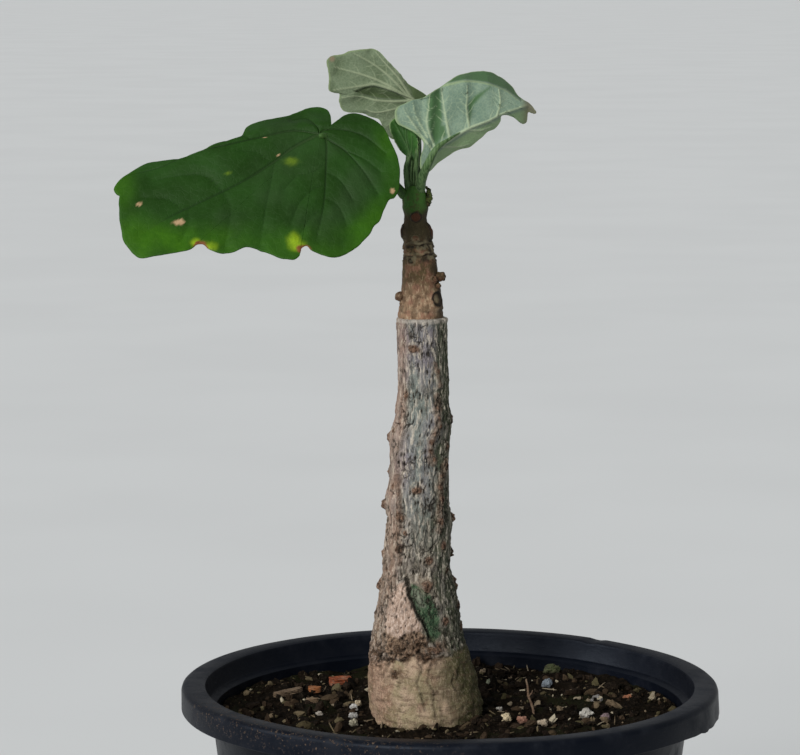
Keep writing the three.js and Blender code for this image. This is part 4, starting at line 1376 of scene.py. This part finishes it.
def leaf_sheet(name, margin, junction, columns, rows, frill=0.25, seed=0):
    """A flat leaf as rings round its vein junction. Returns x, z and how far out each vertex lies."""
    obj, u, v = unit_sheet(name, columns, rows)
    edge = smooth_line(margin, columns + 1, closed=True)
    around = np.linspace(0, 1, columns + 1)
    turn = np.stack([8 * np.cos(2 * math.pi * around), 8 * np.sin(2 * math.pi * around), 0 * around], axis=1)
    outward = edge - np.array(junction)
    outward /= np.linalg.norm(outward, axis=1)[:, None] + 1e-9
    edge = edge + outward * (frill * fractal(turn * 1.2, 3, seed=seed))[:, None]
    edge[-1] = edge[0]
    rim_x, rim_z = np.interp(u, around, edge[:, 0]), np.interp(u, around, edge[:, 1])
    x = junction[0] + (rim_x - junction[0]) * v
    z = junction[1] + (rim_z - junction[1]) * v
    return obj, x, z, v


def vein_masks(x, z, veins):
    """Strength of the veins at each place, and the distance to the nearest in half widths.

    A vein is (half width at its root, points).
    """
    strength = np.zeros(len(x))
    wide = np.full(len(x), 99.0)
    for width, points in veins:
        line = smooth_line(points, 24)
        away, along = line_distance(x, z, line)
        here = width * (1 - 0.65 * along)
        strength = np.maximum(strength, ease(away, here, here * 0.25) * (1 - 0.35 * along))
        wide = np.minimum(wide, away / width)
    return strength, wide


def side_veins(main, starts, length, slope, curve=0.25):
    """Short veins that leave a main vein at the given shares of its length and bend forwards."""
    line = smooth_line(main, 101)
    made = []
    for share in starts:
        index = int(share * 100)
        spot = line[index]
        ahead = line[min(100, index + 3)] - line[max(0, index - 3)]
        ahead /= np.linalg.norm(ahead)
        for side in (1, -1):
            across = np.array([-ahead[1], ahead[0]]) * side
            reach = length * (1 - 0.5 * share)
            middle = spot + (across * math.cos(slope) + ahead * math.sin(slope)) * reach * 0.5
            end = middle + (across * math.cos(slope + curve) + ahead * math.sin(slope + curve)) * reach * 0.5
            made.append([tuple(spot), tuple(middle), tuple(end)])
    return made


def close_blade(obj, thickness):
    """Gives a leaf sheet its thickness, with the first finish on its showing side and the second behind."""
    if sum(face.normal.y * face.area for face in obj.data.polygons) > 0:
        pick(obj)
        bpy.ops.object.mode_set(mode="EDIT")
        bpy.ops.mesh.select_all(action="SELECT")
        bpy.ops.mesh.flip_normals()
        bpy.ops.object.mode_set(mode="OBJECT")
    finish_with(obj, "SOLIDIFY", thickness=thickness, offset=0.0, use_rim=True, material_offset=1)


LARGE_MARGIN = (
    (-32.5, 280.3), (-32.9, 283.0), (-34.6, 284.7), (-38.5, 284.9), (-45.2, 282.8), (-51.5, 281.7),
    (-55.6, 280.0),
    (-57.2, 278.0), (-60.5, 276.9), (-64.1, 275.9), (-70.7, 273.1), (-76.1, 271.3), (-81.4, 270.8),
    (-85.4, 269.2),
    (-89.3, 266.7), (-91.1, 264.0), (-90.4, 262.6), (-89.6, 262.2), (-89.6, 260.3), (-88.9, 256.0),
    (-88.0, 251.5),
    (-86.5, 249.0), (-84.9, 247.6), (-82.4, 246.7), (-77.6, 247.5), (-72.4, 248.4), (-69.6, 249.0),
    (-68.0, 250.2),
    (-66.2, 250.3), (-64.7, 249.0), (-61.7, 248.0), (-58.2, 248.4), (-55.1, 249.6), (-52.3, 249.2),
    (-49.8, 248.3),
    (-46.0, 247.1), (-42.6, 246.6), (-40.6, 247.4), (-40.3, 248.9), (-38.8, 249.8), (-37.4, 248.6),
    (-34.6, 247.6),
    (-31.2, 247.0), (-28.4, 247.6), (-25.9, 249.0), (-23.8, 250.9), (-21.9, 252.7), (-20.8, 254.8),
    (-19.2, 256.2),
    (-17.9, 259.0), (-16.9, 261.4), (-15.4, 261.9), (-14.3, 264.0), (-13.9, 267.9), (-14.4, 271.8),
    (-16.1, 275.7),
    (-18.0, 279.6), (-21.5, 282.2), (-26.2, 283.5), (-28.9, 283.1), (-30.9, 281.8),
)
LARGE_JUNCTION = (-35.9, 278.5)
LARGE_MAINS = (
    (0.85, ((-35.9, 278.5), (-42.5, 275.2), (-48.1, 271.2), (-55.0, 267.0), (-61.7, 263.6), (-74.3, 257.8),
            (-82, 253.5))),
    (0.55, ((-35.9, 278.5), (-43.0, 279.4), (-51.0, 277.9), (-59.3, 276.1), (-70.0, 273.8), (-78.6, 269.9),
            (-87.0, 267.8))),
    (0.6, ((-35.9, 278.5), (-33.9, 276.9), (-33.9, 268.4), (-34.4, 260.2), (-36.0, 252.3))),
    (0.45, ((-35.9, 278.5), (-33.2, 276.9), (-28.8, 274.2), (-23.9, 269.0), (-19.8, 263.0))),
    (0.4, ((-35.9, 278.5), (-34.2, 279.6), (-29.0, 279.6), (-23.4, 277.8), (-17.7, 273.4))),
    (0.3, ((-35.9, 278.5), (-36.5, 280.5), (-39.5, 282.4), (-43.5, 282.0))),
)
LARGE_SIDES = (
    (0.32, ((-49.2, 270.7), (-52.5, 273.6), (-57.0, 274.2))),
    (0.36, ((-61.7, 263.6), (-66.5, 267.6), (-73.0, 267.8), (-81.0, 266.2))),
    (0.3, ((-72.0, 259.0), (-77.0, 261.6), (-83.5, 262.0))),
    (0.36, ((-48.1, 271.2), (-48.7, 266.0), (-49.8, 260.0), (-51.0, 250.8))),
    (0.34, ((-61.7, 263.6), (-59.6, 260.0), (-59.5, 255.2), (-60.5, 250))),
    (0.28, ((-71.0, 259.4), (-70.6, 255.5), (-72.0, 251.5))),
    (0.28, ((-33.9, 271.0), (-38.0, 268.6), (-42.0, 267.4), (-44.8, 264.5))),
    (0.3, ((-34.0, 265.5), (-37.5, 264.2), (-41.0, 260.6), (-43.0, 255.5))),
    (0.26, ((-34.1, 262.0), (-30.5, 260.0), (-28.0, 255.0))),
    (0.26, ((-34.3, 259.5), (-38.0, 257.0), (-40.5, 252.6))),
    (0.24, ((-33.9, 268.6), (-30.0, 266.5), (-26.5, 261.5))),
    (0.24, ((-28.8, 274.2), (-24.0, 272.2), (-19.0, 268.6))),
    (0.22, ((-64.0, 275.0), (-68.5, 274.6), (-72.0, 272.6))),
    (0.22, ((-54.0, 277.2), (-58.0, 278.3), (-61.0, 276.8))),
)
# Damage on the large leaf: x, z, half width, half height.
LARGE_SPOTS = {
    "tan": ((-73.0, 255.7, 1.9, 0.7), (-83.9, 260.3, 0.8, 0.55), (-15.9, 263.5, 0.55, 0.75),
            (-46.9, 273.0, 0.45, 0.2),
            (-50.6, 277.6, 0.5, 0.16)),
    "yellow": ((-42.2, 251.0, 1.6, 1.9), (-41.0, 249.8, 2.0, 1.3), (-64.9, 249.6, 2.4, 1.1),
               (-68.4, 250.6, 1.3, 0.9)),
    "hint": ((-43.2, 271.2, 2.0, 1.1), (-60.3, 268.2, 0.9, 0.4)),
    "brown": ((-67.2, 250.2, 2.0, 0.9), (-39.6, 249.2, 2.2, 0.9), (-65.6, 249.4, 0.8, 0.8)),
}


def large_depth(x, z):
    """How far back the large leaf's blade hangs at a place seen from the front."""
    droop = -4 - 0.78 * (284 - z) + 0.0022 * (x + 52) ** 2
    fold, _ = line_distance(x, z, LARGE_MAINS[0][1])
    top_fold = ease(z - np.interp(-x, [30, 52, 70, 92], [281.5, 279.6, 273.2, 266.5]), -0.5, 3.5)
    return droop + 1.3 * ease(fold, 10, 0) + 5.0 * top_fold


class UNCARINA_OT_large_leaf(bpy.types.Operator):
    """Models the one mature leaf: a broad drooping blade, its sunk veins, bites and petiole"""

    bl_idname = "uncarina.large_leaf"
    bl_label = "Large leaf"

    def execute(self, context):
        group = context.scene.uncarina_plant
        obj, x, z, out = leaf_sheet("leaf_left_large_blade", LARGE_MARGIN, LARGE_JUNCTION, *LARGE_STEPS,
                                    0.22, seed=90)
        main, near_main = vein_masks(x, z, LARGE_MAINS)
        side, near_side = vein_masks(x, z, LARGE_SIDES)
        flat = np.stack([x, z, np.zeros(len(x))], axis=1)
        quilt = np.clip(np.minimum(near_main / 4, near_side / 7), 0, 1)
        depth = large_depth(x, z) + 0.9 * fractal(flat / 16, 2, seed=91)
        lift = 0.62 * (quilt ** 0.7 - 0.6) - 0.16 * main - 0.07 * side + 0.07 * fractal(flat / 1.4, 3, seed=92)
        ripple = 0.7 * ease(out, 0.75, 1) * fractal(flat / 5, 2, seed=93)
        y = depth - 0.62 * (lift + ripple)
        put(obj, np.stack([x, y, z + 0.5 * lift], axis=1))
        masks = {"vein": ease(main, 0.1, 0.9) * 0.8, "vein_core": ease(main, 0.8, 1.0),
                 "vein_side": ease(side, 0.1, 0.9) * 0.7}
        for kind, spots in LARGE_SPOTS.items():
            mask = np.zeros(len(x))
            for cx, cz, wide, tall in spots:
                away = np.hypot((x - cx) / wide, (z - cz) / tall) + 0.28 * fractal(flat / 1.1 + cx, 3, seed=94)
                soft = (1.6, 0.1) if kind in ("yellow", "hint") else (1.1, 0.8)
                mask = np.maximum(mask, ease(away, *soft))
            masks[kind] = mask
        hint = masks.pop("hint") * 0.26
        masks["yellow"] = np.maximum(masks["yellow"] * 0.72, hint)
        low = ease(z - np.interp(-x, [14, 30, 40, 60, 75, 90], [262, 250.5, 249.5, 250.6, 250.5, 256]), 7, 0)
        right = ease(x + 0.15 * (z - 265), -20.5, -15.5)
        left_tip = ease(x, -83, -89)
        light = np.maximum.reduce([low * 0.62, right * 0.5, left_tip * 0.5, ease(out, 0.95, 1) * 0.35])
        masks["light"] = np.clip(light * (0.75 + 0.6 * fractal(flat / 6, 3, seed=95)), 0, 1)
        # Painted sheen: grey patches over the blade away from its edge.
        masks["grey"] = np.clip(ease(fractal(flat / 12 + 4, 3, seed=96), -0.3, 0.6) * ease(out, 0.95, 0.6),
                                0, 1)
        masks["deep"] = masks["under"] = np.zeros(len(x))
        masks["rim"] = ease(out, 0.985, 1) * 0.8
        for name, values in masks.items():
            attribute(obj, name, values)
        weld(obj, 0.003)
        close_blade(obj, group.blade)
        smooth(obj)
        felt = felt_finish("mature_felt", (0.09, 0.15, 0.07), (0.12, 0.18, 0.10), (0.20, 0.27, 0.15),
                           (0.10, 0.18, 0.04), (0.05, 0.09, 0.04))
        stalk = green_finish("mature_petiole", (0.022, 0.062, 0.010), (0.045, 0.105, 0.020))
        dress(obj, mature_leaf_finish(), felt, stalk)
        petiole = rod("large_petiole", ((-12.2, -0.3, 260.6), (-14.6, -1.2, 263.6), (-19, -1.0, 268.6),
                                        (-27, -2.4, 274.4), (-33, -6.3, 277.4), (-36.1, -8.3, 278.2)),
                      (1.5, 1.05, 0.9, 0.85, 0.8, 0.8), 16, 70, bumps=0.06, seed=9)
        share_finishes(petiole, 2, obj)
        obj = join("leaf_left_large_blade", [obj, petiole])
        place_piece(obj, ["leaf_left_large"])
        return {"FINISHED"}


def share_finishes(part, index, owner):
    """Gives a part its owner's finishes, all of it in the slot with that number."""
    dress(part, *owner.data.materials)
    for face in part.data.polygons:
        face.material_index = index


BACK_POCKET = ((-26.6, 289.3), (-23.5, 290.5), (-21.0, 290.9), (-16.2, 289.6), (-10.6, 287.4), (-15.0, 287.0),
               (-20.5, 287.4), (-24.5, 288.5))

YOUNG_LEAVES = {
    "leaf_right": {
        "middle": (9, 290),
        "steps": (260, 84),
        "margin": (
            (-15.0, 285.1), (-12.8, 286.3), (-10.6, 287.3), (-7.4, 288.1), (-4.6, 290.0), (-1.9, 291.5),
            (0.8, 293.3),
            (3.8, 294.5), (7.0, 295.0), (10.1, 294.9), (13.6, 293.5), (16.6, 291.1), (18.5, 288.4),
            (21.5, 286.5),
            (23.3, 284.2), (22.6, 283.8), (21.2, 284.2), (20.9, 281.7), (19.7, 280.8), (18.2, 282.2),
            (16.2, 283.2),
            (14.8, 283.6), (13.6, 283.3), (13.3, 281.6), (12.0, 279.9), (10.0, 278.9), (7.9, 276.9),
            (5.2, 274.8),
            (1.7, 273.7), (-1.2, 272.0), (-3.5, 270.4), (-5.8, 268.2), (-7.9, 268.0), (-8.4, 271.5),
            (-7.5, 274.4),
            (-7.8, 276.7), (-9.8, 278.4), (-12.2, 279.8), (-14.4, 280.8), (-15.3, 283.0),
        ),
        "mains": (
            (0.8, ((-7.8, 266.2), (-4.1, 274.2), (-0.2, 276.9), (4.7, 279.9), (10.4, 282.1), (13.6, 283.8),
                   (20.7, 286.2))),
            (0.45, ((-4.1, 273.9), (-6.5, 280.6), (-6.0, 285.8), (-5.7, 289.4))),
            (0.5, ((-0.4, 277.4), (-1.5, 283.3), (-2.2, 288.0), (-2.6, 290.6))),
            (0.42, ((4.9, 280.4), (4.2, 285.2), (4.4, 288.0), (4.4, 291.4))),
            (0.36, ((12.4, 283.0), (13.4, 287.0), (13.0, 290.6))),
            (0.36, ((-4.6, 273.4), (-8.9, 279.0), (-13.0, 284.8))),
            (0.3, ((-6.4, 277.4), (-9.5, 283.0), (-10.4, 286.8))),
            (0.35, ((-3.0, 275.0), (2.0, 274.8), (5.0, 275.6))),
            (0.35, ((4.0, 279.6), (8.0, 279.4), (11.0, 280.4))),
        ),
        "deep": (((-6.2, 289.0), (-3.1, 290.9), (-2.6, 287.0), (-2.2, 283.0), (-2.6, 277.0), (-4.1, 274.4),
                  (-6.2, 280.6)),
                 ((4.9, 281.4), (4.6, 286.4), (6.6, 288.6), (10.6, 291.0), (8.6, 288.8), (6.0, 286.0)),
                 ((-3.6, 276.0), (-1.2, 278.0), (-1.6, 280.6), (-3.4, 281.0))),
        "crease": (0.45, ((-2.2, 291.2), (0.6, 291.9), (4.1, 292.5), (9.6, 291.9), (14.8, 290.0),
                          (18.2, 287.4))),
    },
    "leaf_back_left": {
        "middle": (-15.6, 287.4),
        "steps": (250, 66),
        "margin": (
            (-34.3, 297.2), (-33.6, 298.4), (-32.4, 299.1), (-29.9, 299.5), (-27.1, 300.6), (-24.7, 300.9),
            (-21.1, 301.0), (-19.3, 300.0), (-16.7, 297.2), (-13.9, 294.4), (-12.4, 292.2), (-9.6, 290.3),
            (-6.6, 288.2), (-6.6, 286.0), (-9.2, 284.4), (-10.4, 282.0), (-12.8, 277.6), (-16.1, 276.4),
            (-18.4, 279.4), (-19.9, 281.7),
            (-22.5, 282.5), (-24.8, 283.4), (-28.3, 283.5), (-30.0, 284.4), (-30.9, 286.4), (-30.8, 288.8),
            (-32.6, 289.0), (-33.8, 289.9), (-33.6, 293.9),
        ),
        "mains": (
            (0.6, ((-10.3, 286.6), (-16.0, 290.4), (-22.5, 293.4), (-32.0, 296.0))),
            (0.5, ((-10.3, 286.6), (-15.2, 292.0), (-20.5, 296.4), (-26.5, 299.8))),
            (0.45, ((-10.6, 287.4), (-14.2, 293.0), (-18.0, 297.2), (-20.6, 300.2))),
            (0.55, ((-10.3, 287.3), (-13.5, 288.9), (-16.5, 290.1), (-21.0, 291.4), (-24.0, 290.9),
                    (-32.6, 289.6))),
            (0.5, ((-10.3, 286.9), (-15.0, 286.6), (-20.5, 286.9), (-25.5, 288.0), (-30.0, 287.6))),
            (0.4, ((-10.6, 286.0), (-16.0, 284.4), (-20.5, 283.6), (-23.5, 284.4))),
            (0.35, ((-10.6, 285.8), (-14.6, 281.8), (-17.6, 279.8))),
        ),
        "deep": (((-13.0, 293.5), (-10.9, 289.4), (-10.2, 287.2), (-6, 284), (-5, 290)),
                 BACK_POCKET),
        "crease": None,
    },
    "leaf_centre_folded": {
        "middle": (-11.6, 275.6),
        "steps": (140, 32),
        "margin": (
            (-16.5, 281.4), (-16.6, 279.4), (-15.9, 277.4), (-15.0, 275.6), (-14.0, 273.8), (-12.6, 272.3),
            (-11.4, 271.2), (-10.4, 270.7), (-9.4, 271.6), (-8.9, 274.0), (-9.1, 276.8), (-9.9, 279.6),
            (-11.6, 282.0), (-14.2, 282.8),
        ),
        "mains": (
            (0.4, ((-10.6, 271.0), (-12.0, 274.6), (-13.8, 278.2), (-15.6, 281.6))),
            (0.3, ((-11.0, 272.0), (-10.6, 275.4), (-10.8, 279.4))),
            (0.3, ((-11.4, 273.2), (-12.2, 276.8), (-12.4, 281.2))),
        ),
        "deep": (),
        "crease": None,
    },
}


# Heights of the right leaf's keel and of its upper crease at places across it: x values, z values.
KEEL = ((-8, -4, 0, 5, 10, 14, 21, 24), (266, 274.3, 277.0, 280.0, 282.0, 284.0, 286.2, 284))
CREASE = ((-16, -2, 4, 10, 15, 19, 24), (300, 291.3, 292.5, 291.8, 289.9, 287.0, 290))
# Where the colour above that crease turns dark, which starts a little further left.
SHADED_EDGE = ((-16, -2.4, 4, 10, 15, 19, 24), CREASE[1])


def right_depth(x, z):
    """The right leaf's keel comes forward, both halves run back, and its upper half is pleated."""
    keel = np.interp(x, *KEEL)
    above = z - keel
    upper = ease(above, -0.3, 1.0)
    depth = -6.5 + 0.30 * np.clip(above, 0, 30) + 0.9 * np.clip(-above, 0, 30)
    crease = np.interp(x, *CREASE)
    depth += 1.9 * np.clip(z - crease, 0, 5)
    lean = x - 0.12 * above
    first = ease(lean, -7.2, -4.6) * ease(lean, -2.2, -4.2)
    second = ease(x, 3.0, 5.6) * ease(x, 10.5, 6.0)
    depth += (1.7 * first + 0.9 * second) * upper * ease(above, 0.3, 3)
    depth += 0.06 * np.clip(x - 8, 0, 20) ** 1.5
    return depth


def back_depth(x, z):
    """The back leaf is a tilted plane whose lower lobe is folded away behind the upper one."""
    pocket = patch(x, z, BACK_POCKET, 0.16)
    fold = np.interp(x, [-31, -26.6, -21, -16, -10.5], [289.2, 289.3, 290.9, 289.6, 287.4])
    hollow = ease(fold - z, -0.1, 2.6) * ease(fold - z, 7, 3) * ease(x, -30, -25)
    return 6.5 + 0.22 * np.clip(-10 - x, 0, 30) + 0.9 * pocket + 1.1 * hollow + 0.05 * (z - 286)


def centre_depth(x, z):
    """The small leaf is cupped: its middle lies further back than its edges."""
    across = x - np.interp(z, [270, 276, 282], [-10.4, -12.3, -14.2])
    return -2.2 + 2.6 * np.clip(1 - (across / 3.4) ** 2, 0, 1)


DEPTHS = {"leaf_right": right_depth, "leaf_back_left": back_depth, "leaf_centre_folded": centre_depth}


class UNCARINA_OT_young_leaves(bpy.types.Operator):
    """Models the three young leaves, their petioles and the unopened bud"""

    bl_idname = "uncarina.young_leaves"
    bl_label = "Young leaves"

    def execute(self, context):
        group = context.scene.uncarina_plant
        green = tuple(group.felt_green)
        felts = {
            "leaf_right": felt_finish("young_felt", green, (0.115, 0.178, 0.130), (0.33, 0.40, 0.255),
                                      (0.25, 0.33, 0.15), (0.030, 0.072, 0.024)),
            "leaf_back_left": felt_finish("old_felt", (0.125, 0.165, 0.098), (0.085, 0.118, 0.062),
                                          (0.235, 0.275, 0.17), (0.19, 0.25, 0.115), (0.036, 0.056, 0.020)),
        }
        bright = young_upper_finish()
        stalk = green_finish("young_petiole", (0.035, 0.085, 0.022), (0.095, 0.160, 0.060))
        for number, (name, leaf) in enumerate(YOUNG_LEAVES.items()):
            blade = self.blade(name, leaf, number)
            felt = felts.get(name, felts["leaf_right"])
            showing = (bright, felt) if name == "leaf_centre_folded" else (felt, bright)
            dress(blade, *showing, stalk)
            close_blade(blade, group.blade)
            smooth(blade)
            petiole = self.petiole(name)
            share_finishes(petiole, 2, blade)
            piece = join(f"{name}_blade", [blade, petiole])
            place_piece(piece, [name])
        self.bud(stalk)
        return {"FINISHED"}

    def blade(self, name, leaf, number):
        obj, x, z, out = leaf_sheet(f"{name}_blade", leaf["margin"], leaf["middle"], *leaf["steps"], 0.16,
                                   seed=100 + number)
        main, near = vein_masks(x, z, leaf["mains"])
        side_paths = []
        for width, points in leaf["mains"]:
            side_paths += [(width * 0.45, path) for path in side_veins(points, (0.3, 0.5, 0.7), 4.5, 0.7)]
        side, _ = vein_masks(x, z, side_paths)
        flat = np.stack([x, z, np.zeros(len(x))], axis=1)
        quilt = np.clip(near / 3.5, 0, 1) ** 0.7
        depth = DEPTHS[name](x, z) + 0.35 * fractal(flat / 5, 3, seed=110 + number)
        depth += 0.36 * quilt - 0.22 * main - 0.04 * side
        depth += 0.6 * ease(out, 0.8, 1) * fractal(flat / 3.5, 2, seed=120 + number)
        rim = ease(out, 0.965, 0.99)
        # Painted shade in the listed hollows of the folds.
        deep = np.zeros(len(x))
        for corners in leaf["deep"]:
            deep = np.maximum(deep, patch(x, z, corners, 0.7) * 0.95)
        if leaf["crease"]:
            crease, _ = vein_masks(x, z, (leaf["crease"],))
            # Painted shade on the band above the crease.
            deep = np.maximum(deep, ease(z - np.interp(x, *SHADED_EDGE), 0.1, 0.8))
            # The crease line is a painted highlight on the crest of the fold.
            rim = np.maximum(rim, crease)
        put(obj, np.stack([x, depth, z], axis=1))
        tip = ease(x, 18.5, 21.5) * 0.7 if name == "leaf_right" else ease(np.hypot(x + 32.7, z - 298.2), 1.1,
                                                                          0.4)
        # Painted light on the strip under the keel.
        under = ease(np.interp(x, *KEEL) - z, 0.4, 1.6) * 0.75 if name == "leaf_right" else 0 * x
        masks = {"vein": ease(main, 0.05, 0.7), "vein_side": ease(side, 0.1, 0.8), "rim": rim * 0.6,
                 "deep": deep,
                 "tan": tip, "under": under}
        for mask, values in masks.items():
            attribute(obj, mask, values)
        weld(obj, 0.003)
        return obj

    def petiole(self, name):
        paths = {
            "leaf_right": (((-8.5, -0.8, 262.0), (-7.9, -3.6, 266.0), (-6.2, -7.2, 270.4),
                            (-3.9, -7.9, 274.6),
                            (-0.4, -7.3, 277.2), (2.6, -6.9, 279.0)),
                           (1.5, 1.35, 1.2, 0.95, 0.5, 0.15)),
            "leaf_back_left": (((-9.9, 1.4, 262.0), (-9.2, 3.0, 268.0), (-8.8, 5.2, 276.0),
                                (-10.0, 6.6, 286.0)),
                               (1.2, 0.85, 0.8, 0.7)),
            "leaf_centre_folded": (((-11.3, -0.6, 262.0), (-12.1, -1.2, 266.0), (-12.2, -1.6, 269.5),
                                    (-11.0, -0.6, 272.6)), (1.2, 0.8, 0.65, 0.5)),
        }
        path, radii = paths[name]
        return rod(f"{name}_petiole", path, radii, 14, 60, bumps=0.07, seed=6)

    def bud(self, stalk):
        """Narrow unopened leaves between the petioles, pressed together."""
        parts = []
        paths = (
            (((-9.8, -0.2, 262.4), (-9.6, -0.5, 268.0), (-9.1, -0.4, 273.5), (-8.3, 0.2, 279.0)),
             (0.9, 0.75, 0.7, 0.1)),
            (((-10.6, -0.4, 262.4), (-10.9, -0.9, 266.5), (-10.6, -1.1, 271.0)), (0.7, 0.4, 0.1)),
            (((-9.6, -0.9, 262.4), (-9.3, -1.7, 266.0), (-9.1, -2.0, 269.5)), (0.6, 0.35, 0.08)),
            (((-10.3, -0.9, 262.4), (-10.1, -1.5, 265.5), (-10.3, -1.8, 268.4)), (0.5, 0.3, 0.06)),
            (((-10.9, 0.8, 262.4), (-11.2, 0.9, 268.0), (-11.0, 1.2, 274.0)), (1.2, 1.5, 0.9)),
            (((-9.3, 1.2, 262.4), (-9.2, 1.4, 270.0), (-9.0, 1.8, 277.0)), (1.3, 1.5, 0.7)),
        )
        for number, (path, radii) in enumerate(paths):
            part = rod(f"bud_{number}", path, radii, 12, 44, bumps=0.16, seed=12 + number)
            dress(part, stalk)
            parts.append(part)
        piece = join("leaf_bud_tip", parts)
        place_piece(piece, ["leaf_bud"])


def young_upper_finish():
    """The bright upper side of a young leaf."""
    f = Finish("young_upper", Specular_IOR_Level=0.35, Sheen_Weight=0.08)
    fine = f.noise(1.0, detail=5, roughness=0.65)
    cloud = f.noise(5, detail=3)
    colour = f.blend(cloud.band(0.35, 0.65), (0.020, 0.080, 0.010), (0.040, 0.130, 0.018))
    colour = f.blend(fine.band(0.5, 0.7) * 0.4, colour, (0.065, 0.170, 0.035))
    colour = f.blend(f.mask("vein") * 0.4, colour, (0.075, 0.150, 0.045))
    colour = f.blend(f.mask("rim"), colour, (0.22, 0.31, 0.13))
    return f.done(colour, 0.5, fine, depth=0.1)


# ------------------------------------------------------------------ stage


class UNCARINA_OT_stage(bpy.types.Operator):
    """Lays the pale floor and sets the soft lights and the camera"""

    bl_idname = "uncarina.stage"
    bl_label = "Stage"

    def execute(self, context):
        floor = new_primitive("floor", bpy.ops.mesh.primitive_plane_add, size=80, location=(0, 0, 0))
        f = Finish("floor_paper", Specular_IOR_Level=0.2)
        cloud = f.noise(260, detail=2)
        tint = tuple(context.scene.uncarina_stage.floor)
        colour = f.blend(cloud.band(0.3, 0.7), tint, tuple(0.97 * c for c in tint))
        dress(floor, f.done(colour, 0.9))
        self.world(context)
        self.light("key", (-0.8, -1.5, 0.85), 2.5, (1.0, 0.985, 0.96))
        self.light("side", (-1.6, -0.3, 0.7), 1.15, (0.97, 0.985, 1.0))
        self.camera(context)
        return {"FINISHED"}

    def world(self, context):
        world = bpy.data.worlds.new("soft_room")
        world.use_nodes = True
        context.scene.world = world
        background = world.node_tree.nodes["Background"]
        background.inputs["Color"].default_value = (0.94, 0.97, 1.0, 1)
        background.inputs["Strength"].default_value = 0.31
        context.scene.view_settings.view_transform = "Standard"

    def light(self, name, place, power, colour):
        """A wide, soft, even light that comes from the given side and reaches the whole floor alike."""
        lamp = bpy.data.lights.new(name, "SUN")
        lamp.angle = math.radians(24)
        lamp.energy = power
        lamp.color = colour
        obj = bpy.data.objects.new(name, lamp)
        obj.location = place
        obj.rotation_euler = (-Vector(place)).to_track_quat("-Z", "Y").to_euler()
        bpy.context.scene.collection.objects.link(obj)

    def camera(self, context):
        data = bpy.data.cameras.new("camera")
        data.lens = 147.5
        data.sensor_width = 36
        data.clip_end = 200
        obj = bpy.data.objects.new("camera", data)
        obj.location = (-13.9 * MM, -0.9, 326 * MM)
        obj.rotation_euler = (math.radians(90 - 7.295), 0, 0)
        context.scene.collection.objects.link(obj)
        context.scene.camera = obj


# ------------------------------------------------------------------ add-on


GROUPS = {
    "uncarina_pot": UNCARINA_PG_pot,
    "uncarina_soil": UNCARINA_PG_soil,
    "uncarina_plant": UNCARINA_PG_plant,
    "uncarina_stage": UNCARINA_PG_stage,
}
OPERATORS = (
    UNCARINA_OT_stage, UNCARINA_OT_pot, UNCARINA_OT_soil, UNCARINA_OT_stones, UNCARINA_OT_bark_chips,
    UNCARINA_OT_twig, UNCARINA_OT_rootstock, UNCARINA_OT_scion, UNCARINA_OT_large_leaf,
    UNCARINA_OT_young_leaves,
)


class UNCARINA_PT_panel(bpy.types.Panel):
    """Lists the sizes, the colours and the pieces"""

    bl_idname = "UNCARINA_PT_panel"
    bl_label = "Potted uncarina"
    bl_space_type = "VIEW_3D"
    bl_region_type = "UI"
    bl_category = "Uncarina"

    def draw(self, context):
        for name, group in GROUPS.items():
            box = self.layout.box()
            for prop in group.__annotations__:
                box.prop(getattr(context.scene, name), prop)
        for operator in OPERATORS:
            self.layout.operator(operator.bl_idname)


CLASSES = (*GROUPS.values(), *OPERATORS, UNCARINA_PT_panel)


def register():
    for item in CLASSES:
        bpy.utils.register_class(item)
    for name, group in GROUPS.items():
        setattr(bpy.types.Scene, name, bpy.props.PointerProperty(type=group))


def unregister():
    for name in GROUPS:
        delattr(bpy.types.Scene, name)
    for item in reversed(CLASSES):
        bpy.utils.unregister_class(item)


def main():
    register()
    for operator in OPERATORS:
        group, name = operator.bl_idname.split(".")
        getattr(getattr(bpy.ops, group), name)()
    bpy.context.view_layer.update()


if __name__ == "__main__":
    main()
